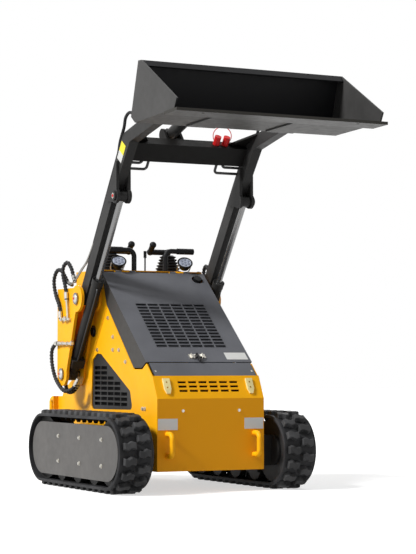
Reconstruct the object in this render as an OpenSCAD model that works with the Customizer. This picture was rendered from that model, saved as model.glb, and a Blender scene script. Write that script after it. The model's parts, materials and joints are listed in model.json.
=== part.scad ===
// Small stand-on loader on rubber tracks, arms raised and bucket level.
// Front faces -Y, +Z is up, the tracks stand on Z = 0. Side outlines are [back, up] from the tracks' front.

/* [Tracks] */
// Gap between the side panel and the belt
track_gap = 61; // [30:1:140]
// Width of one belt
belt_width = 180; // [120:1:260]
// Height over the lugs
track_height = 384; // [280:1:480]
// Length over the lugs
track_length = 1207; // [900:1:1600]
// Thickness of the belt without its lugs
belt_thickness = 18; // [10:1:30]
// Height of the outer lugs
lug_height = 14; // [8:1:30]
// Links in one belt
link_count = 38; // [20:1:60]
// Lug length at its root as a share of the link pitch
lug_root_share = 0.58; // [0.3:0.01:0.8]
// Lug length at its tip as a share of the link pitch
lug_tip_share = 0.44; // [0.2:0.01:0.7]
// Middle groove between the lug rows as a share of the belt width
lug_groove_share = 0.1; // [0:0.01:0.3]
// Steps of the four lug strips along the belt as shares of the pitch
lug_step_shares = [0, 0.16, 0.66, 0.5]; // [0:0.01:1]
// Height of the inner guide teeth
guide_height = 26; // [10:1:40]
// Width of the inner guide teeth
guide_width = 36; // [20:1:60]
// Distance between the outer belt edge and the outer face of the cover
cover_inset = 10; // [0:1:30]
// Thickness of the side cover
cover_thickness = 6; // [3:1:12]
// Gap between the belt and the edge of the cover
cover_gap = 28; // [8:1:40]
// Thickness of the inner frame plate
frame_plate = 12; // [6:1:20]
// Height of the inner frame plate
frame_height = 150; // [80:1:240]
// Radius of the wheel axles
axle_r = 20; // [10:1:40]
// Radius of the lower rollers
roller_r = 62; // [30:1:70]
// Number of lower rollers
roller_count = 3; // [2:1:6]
// Width of one wheel rim
rim_width = 34; // [20:1:50]

/* [Body] */
// Width over the side panels
body_w = 578; // [400:1:800]
// Thickness of the body sheet
sheet = 6; // [3:1:12]
// Foot of the front panel
front_foot = [118.6, 103.5]; // [0:0.1:2000]
// Bend of the front panel
front_bend = [118.6, 451.5]; // [0:0.1:2000]
// Top of the front panel
front_top = [172, 561]; // [0:0.1:2000]
// Distance between the strip under the hood and the side
strip_inset = 12.5; // [2:0.5:60]
// Lower front edge of the hood
hood_front = [245, 628]; // [0:0.1:2000]
// Front lower corner of the hood flange
flange_front = [292, 599]; // [0:0.1:2000]
// Start of the sloping flange edge
flange_bend = [386, 599]; // [0:0.1:2000]
// Rear end of the sloping flange edge
flange_rear = [718, 917]; // [0:0.1:2000]
// Top rear edge of the hood
hood_rear = [783, 1089]; // [0:0.1:2000]
// Width over the hood
hood_w = 581; // [400:1:800]
// Thickness of the hood
hood_sheet = 4; // [2:1:8]
// Hood hinge behind and above the hood's rear edge
hinge_shift = [9, 2]; // [-20:0.5:40]
// Radius of the hinge knuckles
hinge_r = 7; // [4:0.5:15]
// Radius of the hinge pin
hinge_pin_r = 3.5; // [2:0.5:8]
// Length of a hinge knuckle
hinge_l = 40; // [20:1:80]
// Hinge position across
hinge_x = 175; // [80:1:240]
// Gap between the hood and the console
console_gap = 20; // [15:1:40]
// Gap round the hood
hood_gap = 7; // [5:0.5:15]
// Height of the console top
console_z = 1100; // [900:1:1300]
// Outer face of the rear panel
rear_y = 1116; // [900:1:1400]
// Rear end of the side wings
wing_rear = 1372; // [1200:1:1600]
// Height where the side wings leave the rear panel
wing_top = 560; // [400:1:900]
// Upper line of the side wings
wing_line = [[1285, 480], [1310, 446]]; // [0:1:2000]
// Foot of the side wings
wing_foot = 150; // [100:1:300]
// Width of the folded wing end
wing_fold = 32; // [20:1:60]
// Thickness of the chassis floor
floor_t = 10; // [5:1:20]
// Clear edge between the louvre field and the hood sides
louvre_edge = 95; // [40:1:200]
// Start of the louvre field along the slope
louvre_start = 108; // [40:1:300]
// End of the louvre field along the slope
louvre_end = 455; // [200:1:650]
// Louvre rows
louvre_rows = 14; // [4:1:30]
// Louvre columns
louvre_cols = 6; // [2:1:12]
// Louvre length as a share of its pitch
louvre_length_share = 0.86; // [0.4:0.01:0.95]
// Louvre height as a share of its pitch
louvre_height_share = 0.6; // [0.2:0.01:0.8]
// Outline of the side grille
grille_rear_low = [916, 386]; // [0:1:2000]
// Rear upper corner of the side grille
grille_rear_top = [902, 639]; // [0:1:2000]
// Upper corner of the side grille
grille_top = [844, 672]; // [0:1:2000]
// Front end of the upper edge of the side grille
grille_slope = [792, 669]; // [0:1:2000]
// Foremost upper corner of the side grille
grille_front = [433, 485]; // [0:1:2000]
// Front lower corner of the side grille
grille_front_low = [403, 393]; // [0:1:2000]
// Corner radius of the side grille
grille_r = 22; // [5:1:40]
// Frame round the grille slots
grille_border = 15; // [10:1:50]
// Slot length in the side grille
slot_l = 74; // [20:1:100]
// Slot height in the side grille
slot_h = 17; // [8:1:30]
// Bar between slots
slot_bar = 9; // [4:1:20]
// Thickness of the grille
grille_t = 4; // [2:1:8]
// Slot length in the front panel
vent_l = 45; // [20:1:80]
// Slot height in the front panel
vent_h = 12; // [6:1:30]
// Vent pitch across
vent_pitch = 56; // [30:1:100]
// Vent pitch up the slope
vent_rise = 23; // [15:1:50]
// Vent columns
vent_cols = 6; // [2:1:10]
// Vent rows
vent_rows = 3; // [1:1:6]
// Middle of the vent rows up the slope as a share of it
vent_mid_share = 0.53; // [0.2:0.01:0.8]
// Position of the arm rest pads either side of the middle
pad_x = 225; // [100:1:280]
// Size of an arm rest pad across
pad_w = 36; // [20:1:100]
// Length of an arm rest pad
pad_l = 80; // [40:1:120]
// Thickness of an arm rest pad
pad_t = 8; // [4:1:20]
// Lower corners of a pad as shares of its width and length
pad_point_shares = [0.24, 0.3]; // [0:0.01:1]
// Places of its holes as shares of its length
pad_hole_shares = [0.4, 0.75]; // [0:0.01:1]
// Radius of its holes
pad_hole_r = 5; // [2:0.5:10]
// Engine block size
engine_size = [520, 470, 380]; // [100:1:800]
// Engine block start behind the front panel
engine_y = 300; // [150:1:600]
// Radius of the filler cap
cap_r = 21; // [20:1:60]
// Height of the filler cap over the hood
cap_h = 11; // [10:1:50]
// Filler cap position across
cap_x = 235; // [0:1:280]
// Filler cap distance down the slope from the hood's rear edge
cap_down = 50; // [30:1:200]
// Clearance between the cap and the hood
cap_gap = 9; // [5:1:20]

/* [Tower] */
// Thickness of the inner tower plate
tower_inner = 12; // [6:1:25]
// Thickness of the outer tower plate
tower_outer = 15; // [6:1:25]
// Free width between the tower plates
tower_space = 82; // [60:1:120]
// Height of the tower top
tower_top = 1008; // [800:1:1200]
// Front edge of the outer tower plate between its lobes
tower_front = 868; // [700:1:1000]
// Rear edge of the tower
tower_rear = 1114; // [900:1:1400]
// Points inside a lobe as a share of its radius
lobe_share = 0.88; // [0.5:0.01:0.95]
// Lobe radius round the arm pivot
lobe_arm = 68; // [40:1:90]
// Lobe radius round the cylinder pivot
lobe_base = 62; // [40:1:90]
// Arm pivot
arm_pivot = [858, 952]; // [0:0.1:2000]
// Lift cylinder base pivot
base_pivot = [1050, 566]; // [0:0.1:2000]
// Radius of the arm pivot pin
arm_pin_r = 20; // [10:0.5:35]
// Radius of the cylinder pins
cyl_pin_r = 15; // [8:0.5:30]
// Radius of the pin caps
pin_cap_r = 30; // [15:1:45]
// Thickness of the pin caps
pin_cap_t = 9; // [4:1:20]

/* [Arms] */
// Width of an arm
arm_w = 48; // [30:1:80]
// Depth of the main beam
beam_depth = 75; // [50:1:120]
// Lower point on the back edge of the beam
beam_low = [705, 1245]; // [0:0.1:2000]
// Outer knee
knee_out = [354, 1744]; // [0:0.1:2000]
// Inner knee
knee_in = [275, 1696]; // [0:0.1:2000]
// Point on the upper edge of the neck
neck_top = [183, 1781]; // [-500:0.1:2000]
// Front upper corner of the neck
neck_tip = [10, 1862]; // [-500:0.1:2000]
// Front end of the lower edge of the neck
neck_low = [-16, 1754]; // [-500:0.1:2000]
// Bucket pivot
bucket_pivot = [-85, 1838]; // [-500:0.1:2000]
// Radius of the arm end
arm_end_r = 36; // [20:1:60]
// Height of the neck's end as a share of the arm end
arm_end_share = 0.9; // [0.5:0.01:0.98]
// Radius of the arm pivot boss
arm_boss_r = 34; // [30:1:70]
// Side play of the pivot bosses
side_play = 3; // [1:0.5:6]
// Lift cylinder rod pin
rod_pin = [418, 1444]; // [0:0.1:2000]
// Thickness of the rod lugs
lug_t = 15; // [8:1:25]
// Radius of the rod lugs
rod_lug_r = 36; // [20:1:60]
// Centre of the cross tube
tube_mid = [398, 1680]; // [0:0.1:2000]
// Cross tube size along the arm
tube_l = 100; // [60:1:140]
// Cross tube size across the arm
tube_d = 68; // [40:1:100]
// Wall of the cross tube
tube_wall = 8; // [4:1:15]
// Width of the gusset between the cross tube and an arm
gusset_w = 96; // [40:1:200]
// Length of the gusset along an arm
gusset_l = 150; // [60:1:250]
// Thickness of the gusset
gusset_t = 10; // [5:1:20]
// Tilt cylinder position across
tilt_x = -60; // [-200:1:200]
// Tilt cylinder base pin
tilt_base = [456, 1766]; // [-500:0.1:2000]
// Tilt rod pin
tilt_pin = [-109.5, 1944.5]; // [-500:0.1:2000]
// Thickness of the tilt lugs
tilt_lug_t = 12; // [6:1:25]
// Free width between the tilt lugs
tilt_space = 72; // [30:1:90]
// Radius of the tilt lugs
tilt_lug_r = 30; // [15:1:50]

/* [Cylinders] */
// Outer radius of the lift barrel
lift_barrel_r = 28; // [20:1:50]
// Radius of the lift rod
lift_rod_r = 15; // [8:1:30]
// Length of the lift barrel from its pin
lift_barrel_l = 590; // [400:1:900]
// Length of the lift rod
lift_rod_l = 556; // [300:1:900]
// Outer radius of the tilt barrel
tilt_barrel_r = 30; // [20:1:50]
// Radius of the tilt rod
tilt_rod_r = 15; // [8:1:30]
// Length of the tilt barrel from its pin
tilt_barrel_l = 372; // [200:1:600]
// Length of the tilt rod
tilt_rod_l = 290; // [150:1:600]
// Outer radius of the base eyes
eye_r = 33; // [20:1:60]
// Width of the eyes
eye_w = 40; // [20:1:70]
// Outer radius of the rod eyes
rod_eye_r = 25; // [15:1:50]
// Length of the gland ring
gland_l = 34; // [10:1:80]
// Height of the gland ring over the barrel
gland_up = 2; // [1:1:10]
// Length of the solid barrel foot
barrel_foot = 60; // [40:1:120]

/* [Bucket] */
// Width over the bucket sides
bucket_w = 1072; // [800:1:1400]
// Thickness of the bucket plates
bucket_t = 8; // [4:1:15]
// Front end of the bucket floor
bucket_lip = [-575, 1740]; // [-1200:0.1:2500]
// Heel of the bucket
bucket_heel = [-160, 1727]; // [-1200:0.1:2500]
// Lower end of the bucket back
back_low = [-116, 1759]; // [-1200:0.1:2500]
// Upper end of the bucket back
back_top = [-195, 2010]; // [-1200:0.1:2500]
// Front end of the bent top
top_lip = [-228, 2008]; // [-1200:0.1:2500]
// Folded end of the bent top
lip_tip = [-252, 1980]; // [-1200:0.1:2500]
// Front corner of the bucket side
side_front = [-600, 1786]; // [-1200:0.1:2500]
// Width over the cutting edge
edge_w = 1090; // [800:1:1400]
// Depth of the cutting edge
edge_l = 130; // [60:1:250]
// How far the cutting edge runs ahead of the floor
edge_ahead = 45; // [0:1:100]
// Thickness of the cutting edge
edge_t = 14; // [6:1:30]
// Bolt hole radius in the cutting edge
edge_hole_r = 8; // [4:0.5:15]
// Distance between the two outer bolt holes
edge_hole_span = 800; // [200:1:1000]
// Width of the attachment plate
attach_w = 830; // [500:1:1000]
// Thickness of the attachment plate
attach_t = 15; // [8:1:25]
// Height of the attachment plate as a share of the bucket back
attach_share = 0.9; // [0.5:0.01:0.95]
// Half height of the rod window in the attachment plate
window_half = 50; // [30:1:100]
// Wear plate position across
wear_x = 210; // [100:1:400]
// Width of a wear plate
wear_w = 148; // [40:1:250]
// Thickness of a wear plate
wear_t = 7; // [3:1:15]
// Gap between the heel and the wear plates
wear_gap = 22; // [5:1:100]

/* [Controls and fittings] */
// Lamp position across
lamp_x = 190; // [50:1:280]
// Lamp front
lamp_y = 797; // [700:1:1000]
// Lamp height
lamp_z = 1141; // [1000:1:1300]
// Lamp radius
lamp_r = 38; // [20:1:70]
// Lamp depth
lamp_d = 46; // [20:1:90]
// Angle by which the lamps look down
lamp_tilt = 48; // [0:1:60]
// Lens thickness
lens_t = 4; // [2:1:10]
// Grab bar post across
grab_x = 90; // [40:1:200]
// Grab bar distance behind the hood edge
grab_y = 826; // [780:1:1000]
// Grab bar height
grab_z = 1207; // [1100:1:1400]
// Grab bar outer end across
grab_end = 250; // [120:1:300]
// Grab bar radius
grab_r = 13; // [5:0.5:20]
// Grip radius
grip_r = 16; // [8:0.5:30]
// Bend radius of the grab bars
grab_bend = 34; // [15:1:80]
// Lever position across
lever_x = 165; // [60:1:250]
// Lever position front to back
lever_y = 955; // [850:1:1080]
// Foot radius of the lever boots
boot_r = 70; // [30:1:100]
// Top radius of the lever boots
boot_top_r = 38; // [15:1:60]
// Height of the lever boots
boot_h = 92; // [40:1:150]
// Folds in a boot
boot_folds = 6; // [1:1:8]
// Depth of a bellows fold
boot_ridge = 7; // [2:0.5:15]
// Heights of the corners of a fold as shares of it
boot_shares = [0.3, 0.6, 0.8]; // [0:0.01:1]
// Radius of a lever stem
stem_r = 9; // [5:0.5:20]
// Radius of the lever bars
lever_bar_r = 15; // [6:0.5:20]
// Radius of the lever joint
lever_joint_r = 18; // [8:0.5:30]
// Height of the lever crossbar
lever_z = 1208; // [1150:1:1400]
// Inner end of the lever crossbar
lever_in = 62; // [20:1:150]
// Upturned end of the lever crossbar
lever_up = 50; // [10:1:80]
// Forward lean of the levers' ends in degrees
lever_lean = 45; // [0:1:80]
// Throttle height
throttle_h = 90; // [40:1:150]
// Throttle knob radius
throttle_r = 8; // [6:0.5:25]
// Length of the throttle grip
throttle_l = 36; // [15:1:70]
// Tie-down bar radius
tie_r = 13; // [5:0.5:20]
// Front tie-down position across
tie_x = 235; // [100:1:280]
// Front tie-down foot
tie_z = 177; // [110:1:400]
// Tie-down loop height
tie_h = 105; // [60:1:250]
// Tie-down reach
tie_out = 55; // [30:1:120]
// Tie-down bend radius
tie_bend = 26; // [12:1:60]
// Rear tie-down position across
rear_tie_x = 303; // [250:1:390]
// Rear tie-down foot
rear_tie_z = 328; // [200:1:800]
// Platform length behind the rear panel
platform_l = 362; // [150:1:600]
// Platform width
platform_w = 500; // [300:1:680]
// Platform height
platform_z = 190; // [110:1:350]
// Platform deck thickness
platform_t = 8; // [4:1:20]
// Hose radius
hose_r = 9; // [5:0.5:20]
// Foot of the upper hose loop
hose_upper = [1063, 858]; // [0:1:2000]
// Rise of the upper hose loop
hose_rise = 190; // [60:1:300]
// Radius of the upper hose loop
hose_upper_r = 46; // [20:1:120]
// Rear end of the lower hose run
hose_lower = [1124, 733]; // [0:1:2000]
// Length of the lower hose run
hose_run = 150; // [60:1:300]
// Radius of the lower hose loop
hose_lower_r = 74; // [20:1:160]
// Coupler radius
coupler_r = 17; // [8:1:30]
// Coupler length
coupler_l = 46; // [30:1:120]
// Coupler position across
coupler_x = 178; // [80:1:260]
// Distance between couplers
coupler_pitch = 50; // [40:1:100]
// Pipe radius on the arms
pipe_r = 7; // [4:0.5:15]
// Pipe bend radius
pipe_bend = 18; // [12:1:60]
// Start of the pipes from the middle
pipe_x = 190; // [100:1:260]
// Distance between the pipes
pipe_pitch = 34; // [20:1:80]
// Drop of the longer pipe
pipe_drop = 62; // [30:1:140]

/* [Fits] */
// Running clearance in pivots and rods
running_fit = 0.05; // [0.01:0.01:0.1]
// Seat gap between fixed pieces
seat = 0.3; // [0.1:0.1:1]
// Overrun of cuts
overrun = 2; // [1:0.5:10]

/* [Hidden] */
$fn = 48;
yellow = [0.95, 0.66, 0.05];
dark = [0.16, 0.17, 0.18];
black = [0.06, 0.06, 0.06];
grey = [0.45, 0.45, 0.44];
steel = [0.75, 0.76, 0.78];
red = [0.75, 0.08, 0.06];

end_r = track_height / 2;
belt_r = end_r - lug_height;
inner_r = belt_r - belt_thickness;
front_c = [end_r, end_r];
rear_c = [track_length - end_r, end_r];
flat_l = track_length - track_height;
loop_l = 2 * flat_l + 2 * PI * belt_r;
pitch = loop_l / link_count;
cover_r = inner_r - cover_gap;

half_w = body_w / 2;
belt_in = half_w + track_gap;
belt_x = belt_in + belt_width;
belt_mid = (belt_in + belt_x) / 2;
cover_x = belt_x - cover_inset;
console_y = hood_rear[0] + console_gap;
hinge_at = hood_rear + hinge_shift;
arm_in = half_w + tower_inner + (tower_space - arm_w) / 2;
arm_out = arm_in + arm_w;
arm_mid = (arm_in + arm_out) / 2;
tower_x = half_w + tower_inner + tower_space;

beam_dir = (knee_out - beam_low) / norm(knee_out - beam_low);
beam_front = [-beam_dir[1], beam_dir[0]];
beam_angle = atan2(beam_dir[1], -beam_dir[0]);
gusset_at = tube_mid + (tube_l - tube_wall) / 2 * beam_dir;
gusset_angle = atan2(neck_top[1] - gusset_at[1], gusset_at[0] - neck_top[0]);
function on_beam(s, d) = beam_low + s * beam_dir + d * beam_front;
function along_beam(p) = (p - beam_low) * beam_dir;
function over_beam(p) = (p - beam_low) * beam_front;
pivot_s = along_beam(arm_pivot);
rod_s = along_beam(rod_pin);
rod_d = over_beam(rod_pin);

hood_dir = (hood_rear - hood_front) / norm(hood_rear - hood_front);
hood_angle = atan2(hood_dir[1], hood_dir[0]);
hood_l = norm(hood_rear - hood_front);
front_dir = (front_top - front_bend) / norm(front_top - front_bend);
front_angle = atan2(front_dir[1], front_dir[0]);
front_slope = norm(front_top - front_bend);
louvre_w = hood_w - 2 * louvre_edge;
louvre_pitch = louvre_w / louvre_cols;
louvre_rise = (louvre_end - louvre_start) / louvre_rows;

back_dir = (back_top - back_low) / norm(back_top - back_low);
back_out = [back_dir[1], -back_dir[0]];
back_l = norm(back_top - back_low);
back_angle = atan2(back_dir[1], back_dir[0]);
floor_dir = (bucket_lip - bucket_heel) / norm(bucket_lip - bucket_heel);
floor_l = norm(bucket_lip - bucket_heel);
floor_angle = atan2(floor_dir[1], -floor_dir[0]);
lip_y = bucket_lip[0] - edge_ahead;
rear_end = rear_y + tower_inner + platform_l;
mid_y = (lip_y + rear_end) / 2;

lift_vec = rod_pin - base_pivot;
lift_len = norm(lift_vec);
lift_angle = atan2(lift_vec[1], -lift_vec[0]);
tilt_vec = tilt_pin - tilt_base;
tilt_len = norm(tilt_vec);
tilt_angle = atan2(tilt_vec[1], -tilt_vec[0]);

function left_of(a, b) = [a[1] - b[1], b[0] - a[0]] / norm(b - a);
function mitre(p, i, t) =
    i == 0 ? p[0] + t * left_of(p[0], p[1])
    : i == len(p) - 1 ? p[i] + t * left_of(p[i - 1], p[i])
    : let (m = left_of(p[i - 1], p[i]), n = left_of(p[i], p[i + 1])) p[i] + t * (m + n) / (1 + m * n);
function band(p, t) = concat(p, [for (i = [len(p) - 1:-1:0]) mitre(p, i, t)]);
corner_steps = 5;
function corner(a, p, b, r) =
    let (u = (a - p) / norm(a - p), v = (b - p) / norm(b - p))
    let (half = acos(u * v) / 2, c = p + (u + v) / norm(u + v) * r / sin(half))
    let (s = p + u * r / tan(half), e = p + v * r / tan(half))
    let (a0 = atan2(s[1] - c[1], s[0] - c[0]), turn = atan2(e[1] - c[1], e[0] - c[0]) - a0)
    let (sweep = turn > 180 ? turn - 360 : turn < -180 ? turn + 360 : turn)
    [for (i = [0:corner_steps]) c + r * [cos(a0 + sweep * i / corner_steps), sin(a0 + sweep * i / corner_steps)]];
function rounded(p, r) = [for (i = [0:len(p) - 1])
    each corner(p[(i + len(p) - 1) % len(p)], p[i], p[(i + 1) % len(p)], r)];
function loop_at(s) =
    s < flat_l ? [front_c[0] + s, end_r - belt_r, -90]
    : s < flat_l + PI * belt_r ?
        let (a = (s - flat_l) / belt_r * 180 / PI - 90) [rear_c[0] + belt_r * cos(a), end_r + belt_r * sin(a), a]
    : s < 2 * flat_l + PI * belt_r ? [rear_c[0] - (s - flat_l - PI * belt_r), end_r + belt_r, 90]
    : let (a = (s - 2 * flat_l - PI * belt_r) / belt_r * 180 / PI + 90)
        [front_c[0] + belt_r * cos(a), end_r + belt_r * sin(a), a];

module placed() {
    translate([0, -mid_y, 0]) children();
}

module side(s) {
    placed() mirror([s < 0 ? 1 : 0, 0, 0]) children();
}

module plate(x0, x1) {
    translate([x0, 0, 0]) rotate([90, 0, 90]) linear_extrude(height = x1 - x0) children();
}

module pin(p, r, x0, x1) {
    translate([x0, p[0], p[1]]) rotate([0, 90, 0]) cylinder(r = r, h = x1 - x0);
}

module stadium(r) {
    translate(front_c) circle(r = r);
    translate(rear_c) circle(r = r);
    translate([front_c[0], end_r - r]) square([flat_l, 2 * r]);
}

module ring(r_out, r_in) {
    difference() {
        stadium(r_out);
        stadium(r_in);
    }
}

module lug_row(phase) {
    root = pitch * lug_root_share / 2;
    tip = pitch * lug_tip_share / 2;
    ring(belt_r, inner_r);
    for (i = [0:link_count - 1]) {
        at = loop_at((i + phase) * pitch);
        translate([at[0], at[1]]) rotate(at[2] - 90)
            polygon([[-root, -belt_thickness / 2], [root, -belt_thickness / 2], [root, 0],
                [tip, lug_height], [-tip, lug_height], [-root, 0]]);
    }
}

module guide_row() {
    root = pitch * lug_tip_share / 2;
    ring(belt_r, inner_r);
    for (i = [0:link_count - 1]) {
        at = loop_at(i * pitch);
        translate([at[0], at[1]]) rotate(at[2] - 90)
            translate([-root / 2, -belt_thickness - guide_height])
                square([root, guide_height + belt_thickness / 2]);
    }
}

module track(s) {
    groove = belt_width * lug_groove_share / 2;
    quarter = (belt_width / 2 - groove) / 2;
    side(s) {
        plate(belt_in, belt_in + quarter) lug_row(lug_step_shares[0]);
        plate(belt_in + quarter, belt_mid - groove) lug_row(lug_step_shares[1]);
        plate(belt_mid - groove, belt_mid + groove) ring(belt_r, inner_r);
        plate(belt_mid + groove, belt_x - quarter) lug_row(lug_step_shares[2]);
        plate(belt_x - quarter, belt_x) lug_row(lug_step_shares[3]);
        plate(belt_mid - guide_width / 2, belt_mid + guide_width / 2) guide_row();
    }
}

module track_right() {
    color(black) track(-1);
}

module track_left() {
    color(black) track(1);
}

wheel_r = inner_r - seat;
hub_r = wheel_r - guide_height - belt_thickness;
wheel_half = guide_width / 2 + side_play + rim_width;
roller_z = end_r - inner_r + roller_r + seat;
function roller_y(i) = front_c[0] + flat_l * (i + 1) / (roller_count + 1);

module wheel(p, r, hub) {
    rim_in = guide_width / 2 + side_play;
    difference() {
        union() {
            pin(p, r, belt_mid - wheel_half, belt_mid - rim_in);
            pin(p, r, belt_mid + rim_in, belt_mid + wheel_half);
            pin(p, hub, belt_mid - wheel_half, belt_mid + wheel_half);
        }
        pin(p, axle_r + seat, belt_mid - wheel_half - overrun, belt_mid + wheel_half + overrun);
    }
}

module track_wheels() {
    color(dark) for (s = [-1, 1]) side(s) {
        wheel(front_c, wheel_r, hub_r);
        wheel(rear_c, wheel_r, hub_r);
        for (i = [0:roller_count - 1]) wheel([roller_y(i), roller_z], roller_r, axle_r + belt_thickness / 2);
    }
}

module track_frame(s) {
    plate_x = belt_mid - wheel_half - side_play;
    side(s) {
        plate(plate_x - frame_plate, plate_x) {
            translate([front_c[0], end_r - frame_height / 2]) square([flat_l, frame_height]);
            translate(front_c) circle(r = frame_height / 2);
            translate(rear_c) circle(r = frame_height / 2);
            for (i = [0:roller_count - 1])
                translate([roller_y(i) - roller_r, roller_z - axle_r])
                    square([2 * roller_r, end_r - roller_z]);
        }
        for (p = [front_c, rear_c]) pin(p, axle_r, plate_x - frame_plate / 2, cover_x - cover_thickness);
        for (i = [0:roller_count - 1])
            pin([roller_y(i), roller_z], axle_r, plate_x - frame_plate / 2, cover_x - cover_thickness);
        for (y = [front_c[0], rear_c[0] - frame_height])
            translate([half_w, y, end_r - frame_height / 2])
                cube([plate_x - frame_plate / 2 - half_w, frame_height, frame_height]);
    }
}

module track_frame_right() {
    color(dark) track_frame(-1);
}

module track_frame_left() {
    color(dark) track_frame(1);
}

module track_covers() {
    color(grey) for (s = [-1, 1]) side(s) plate(cover_x - cover_thickness, cover_x) stadium(cover_r);
}

module chassis() {
    in_w = half_w - sheet;
    color(yellow) placed() {
        translate([-in_w, front_foot[0] + sheet, front_foot[1]])
            cube([2 * in_w, rear_y - front_foot[0] - sheet, floor_t]);
        for (x = [-in_w, in_w - floor_t])
            translate([x, front_foot[0] + sheet, front_foot[1]])
                cube([floor_t, rear_y - front_foot[0] - sheet, end_r]);
    }
}

front_line = [front_foot, front_bend, front_top, hood_front - hood_gap * hood_dir];

module vent_slots() {
    translate([0, front_bend[0], front_bend[1]]) rotate([front_angle, 0, 0])
        for (i = [0:vent_cols - 1], j = [0:vent_rows - 1])
            translate([(i - (vent_cols - 1) / 2) * vent_pitch - vent_l / 2,
                front_slope * vent_mid_share + (j - (vent_rows - 1) / 2) * vent_rise - vent_h / 2,
                -sheet - overrun])
                cube([vent_l, vent_h, sheet + 2 * overrun]);
}

module front_panel() {
    color(yellow) placed() difference() {
        plate(-half_w, half_w) polygon([front_line[0], front_line[1], front_line[2],
            mitre(front_line, 2, -sheet), mitre(front_line, 1, -sheet), mitre(front_line, 0, -sheet)]);
        vent_slots();
    }
}

module front_strip() {
    color(dark) placed()
        plate(strip_inset - half_w, half_w - strip_inset) polygon([front_line[2], front_line[3],
            mitre(front_line, 3, -sheet), mitre(front_line, 2, -sheet)]);
}

flange_edge = [hood_front, flange_front, flange_bend, flange_rear, hood_rear];
grille_line = [grille_rear_low, grille_rear_top, grille_top, grille_slope, grille_front, grille_front_low];

module side_panel(s) {
    under = [for (i = [1:len(flange_edge) - 2]) mitre(flange_edge, i, -hood_gap)];
    behind = hood_rear + [console_gap / 2, -hood_gap];
    side(s) plate(half_w - sheet, half_w) difference() {
        polygon(concat([[wing_rear, wing_foot], [rear_y + sheet, front_foot[1]]],
            [for (i = [0:3]) mitre(front_line, i, -sheet)], under,
            [behind, [console_y, console_z - sheet], [rear_y + sheet, console_z - sheet],
                [rear_y + sheet, wing_top]], wing_line, [[wing_rear, wing_line[1][1]]]));
        polygon(rounded(grille_line, grille_r));
    }
    side(s) translate([half_w - sheet / 2, wing_rear - sheet, wing_foot])
        cube([wing_fold, sheet, wing_line[1][1] - wing_foot]);
}

module side_panel_right() {
    color(yellow) side_panel(-1);
}

module side_panel_left() {
    color(yellow) side_panel(1);
}

grille_low = max(grille_front_low[1], grille_rear_low[1]) + grille_border;
function grille_high(y) =
    y > grille_slope[0] ? grille_rear_top[1] - grille_border
    : grille_front[1] + (y - grille_front[0]) / (grille_slope[0] - grille_front[0])
        * (grille_slope[1] - grille_front[1]) - grille_border;

module side_grille(s) {
    y_end = grille_rear_top[0] - grille_border;
    step_y = slot_l + slot_bar;
    step_z = slot_h + slot_bar;
    cols = floor((y_end - grille_front[0]) / step_y);
    side(s) plate(half_w - sheet - grille_t, half_w - sheet) difference() {
        polygon(rounded([for (i = [0:len(grille_line) - 1]) let (n = len(grille_line))
            mitre([grille_line[(i + n - 1) % n], grille_line[i], grille_line[(i + 1) % n]], 1, -grille_border)],
            grille_r));
        for (i = [0:cols - 1]) {
            y = y_end - slot_l - i * step_y;
            rows = floor((grille_high(y) - grille_low + slot_bar) / step_z);
            if (rows > 0) for (j = [0:rows - 1])
                translate([y, grille_low + j * step_z]) square([slot_l, slot_h]);
        }
    }
}

module side_grille_right() {
    color(black) side_grille(-1);
}

module side_grille_left() {
    color(black) side_grille(1);
}

module rear_panel() {
    color(yellow) placed() translate([sheet - half_w, rear_y, front_foot[1]])
        cube([body_w - 2 * sheet, sheet, console_z - sheet - front_foot[1]]);
}

module console() {
    color(yellow) placed() {
        translate([-half_w, console_y, console_z - sheet]) cube([body_w, rear_y + sheet - console_y, sheet]);
        for (x = [-hinge_x, hinge_x - hinge_l]) {
            pin(hinge_at, hinge_r, x, x + hinge_l);
            translate([x, hinge_at[0], hinge_at[1] - hinge_r])
                cube([hinge_l, console_y + sheet - hinge_at[0], console_z - hinge_at[1] + hinge_r]);
            pin(hinge_at, hinge_pin_r, x - hinge_l, x + 2 * hinge_l);
        }
    }
}

module tower_outline() {
    arm_in = lobe_arm * lobe_share;
    base_in = lobe_base * lobe_share;
    translate(arm_pivot) circle(r = lobe_arm);
    translate(base_pivot) circle(r = lobe_base);
    polygon([[arm_pivot[0], tower_top], [tower_rear, tower_top], [tower_rear, base_pivot[1]],
        base_pivot - [0, base_in], base_pivot - [base_in, 0], [tower_front, arm_pivot[1] - arm_in]]);
}

module tower(s) {
    side(s) difference() {
        union() {
            plate(half_w, half_w + tower_inner) tower_outline();
            plate(tower_x, tower_x + tower_outer) tower_outline();
            translate([half_w, tower_rear - tower_inner, base_pivot[1]])
                cube([tower_x + tower_outer - half_w, tower_inner, tower_top - base_pivot[1]]);
        }
        pin(arm_pivot, arm_pin_r + running_fit, half_w - overrun, tower_x + tower_outer + overrun);
        pin(base_pivot, cyl_pin_r + running_fit, half_w - overrun, tower_x + tower_outer + overrun);
    }
}

module tower_right() {
    color(yellow) tower(-1);
}

module tower_left() {
    color(yellow) tower(1);
}

module pivot_pins() {
    outer = tower_x + tower_outer;
    color(steel) for (s = [-1, 1]) side(s) {
        pin(arm_pivot, arm_pin_r, half_w + seat, outer);
        pin(arm_pivot, pin_cap_r, outer, outer + pin_cap_t);
        pin(base_pivot, cyl_pin_r, half_w + seat, outer);
        pin(base_pivot, pin_cap_r, outer, outer + pin_cap_t);
    }
}

module engine() {
    color(dark) placed() translate([-engine_size[0] / 2, engine_y, front_foot[1] + floor_t]) cube(engine_size);
}

module on_hood() {
    translate([0, hood_front[0], hood_front[1]]) rotate([hood_angle, 0, 0]) children();
}

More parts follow.
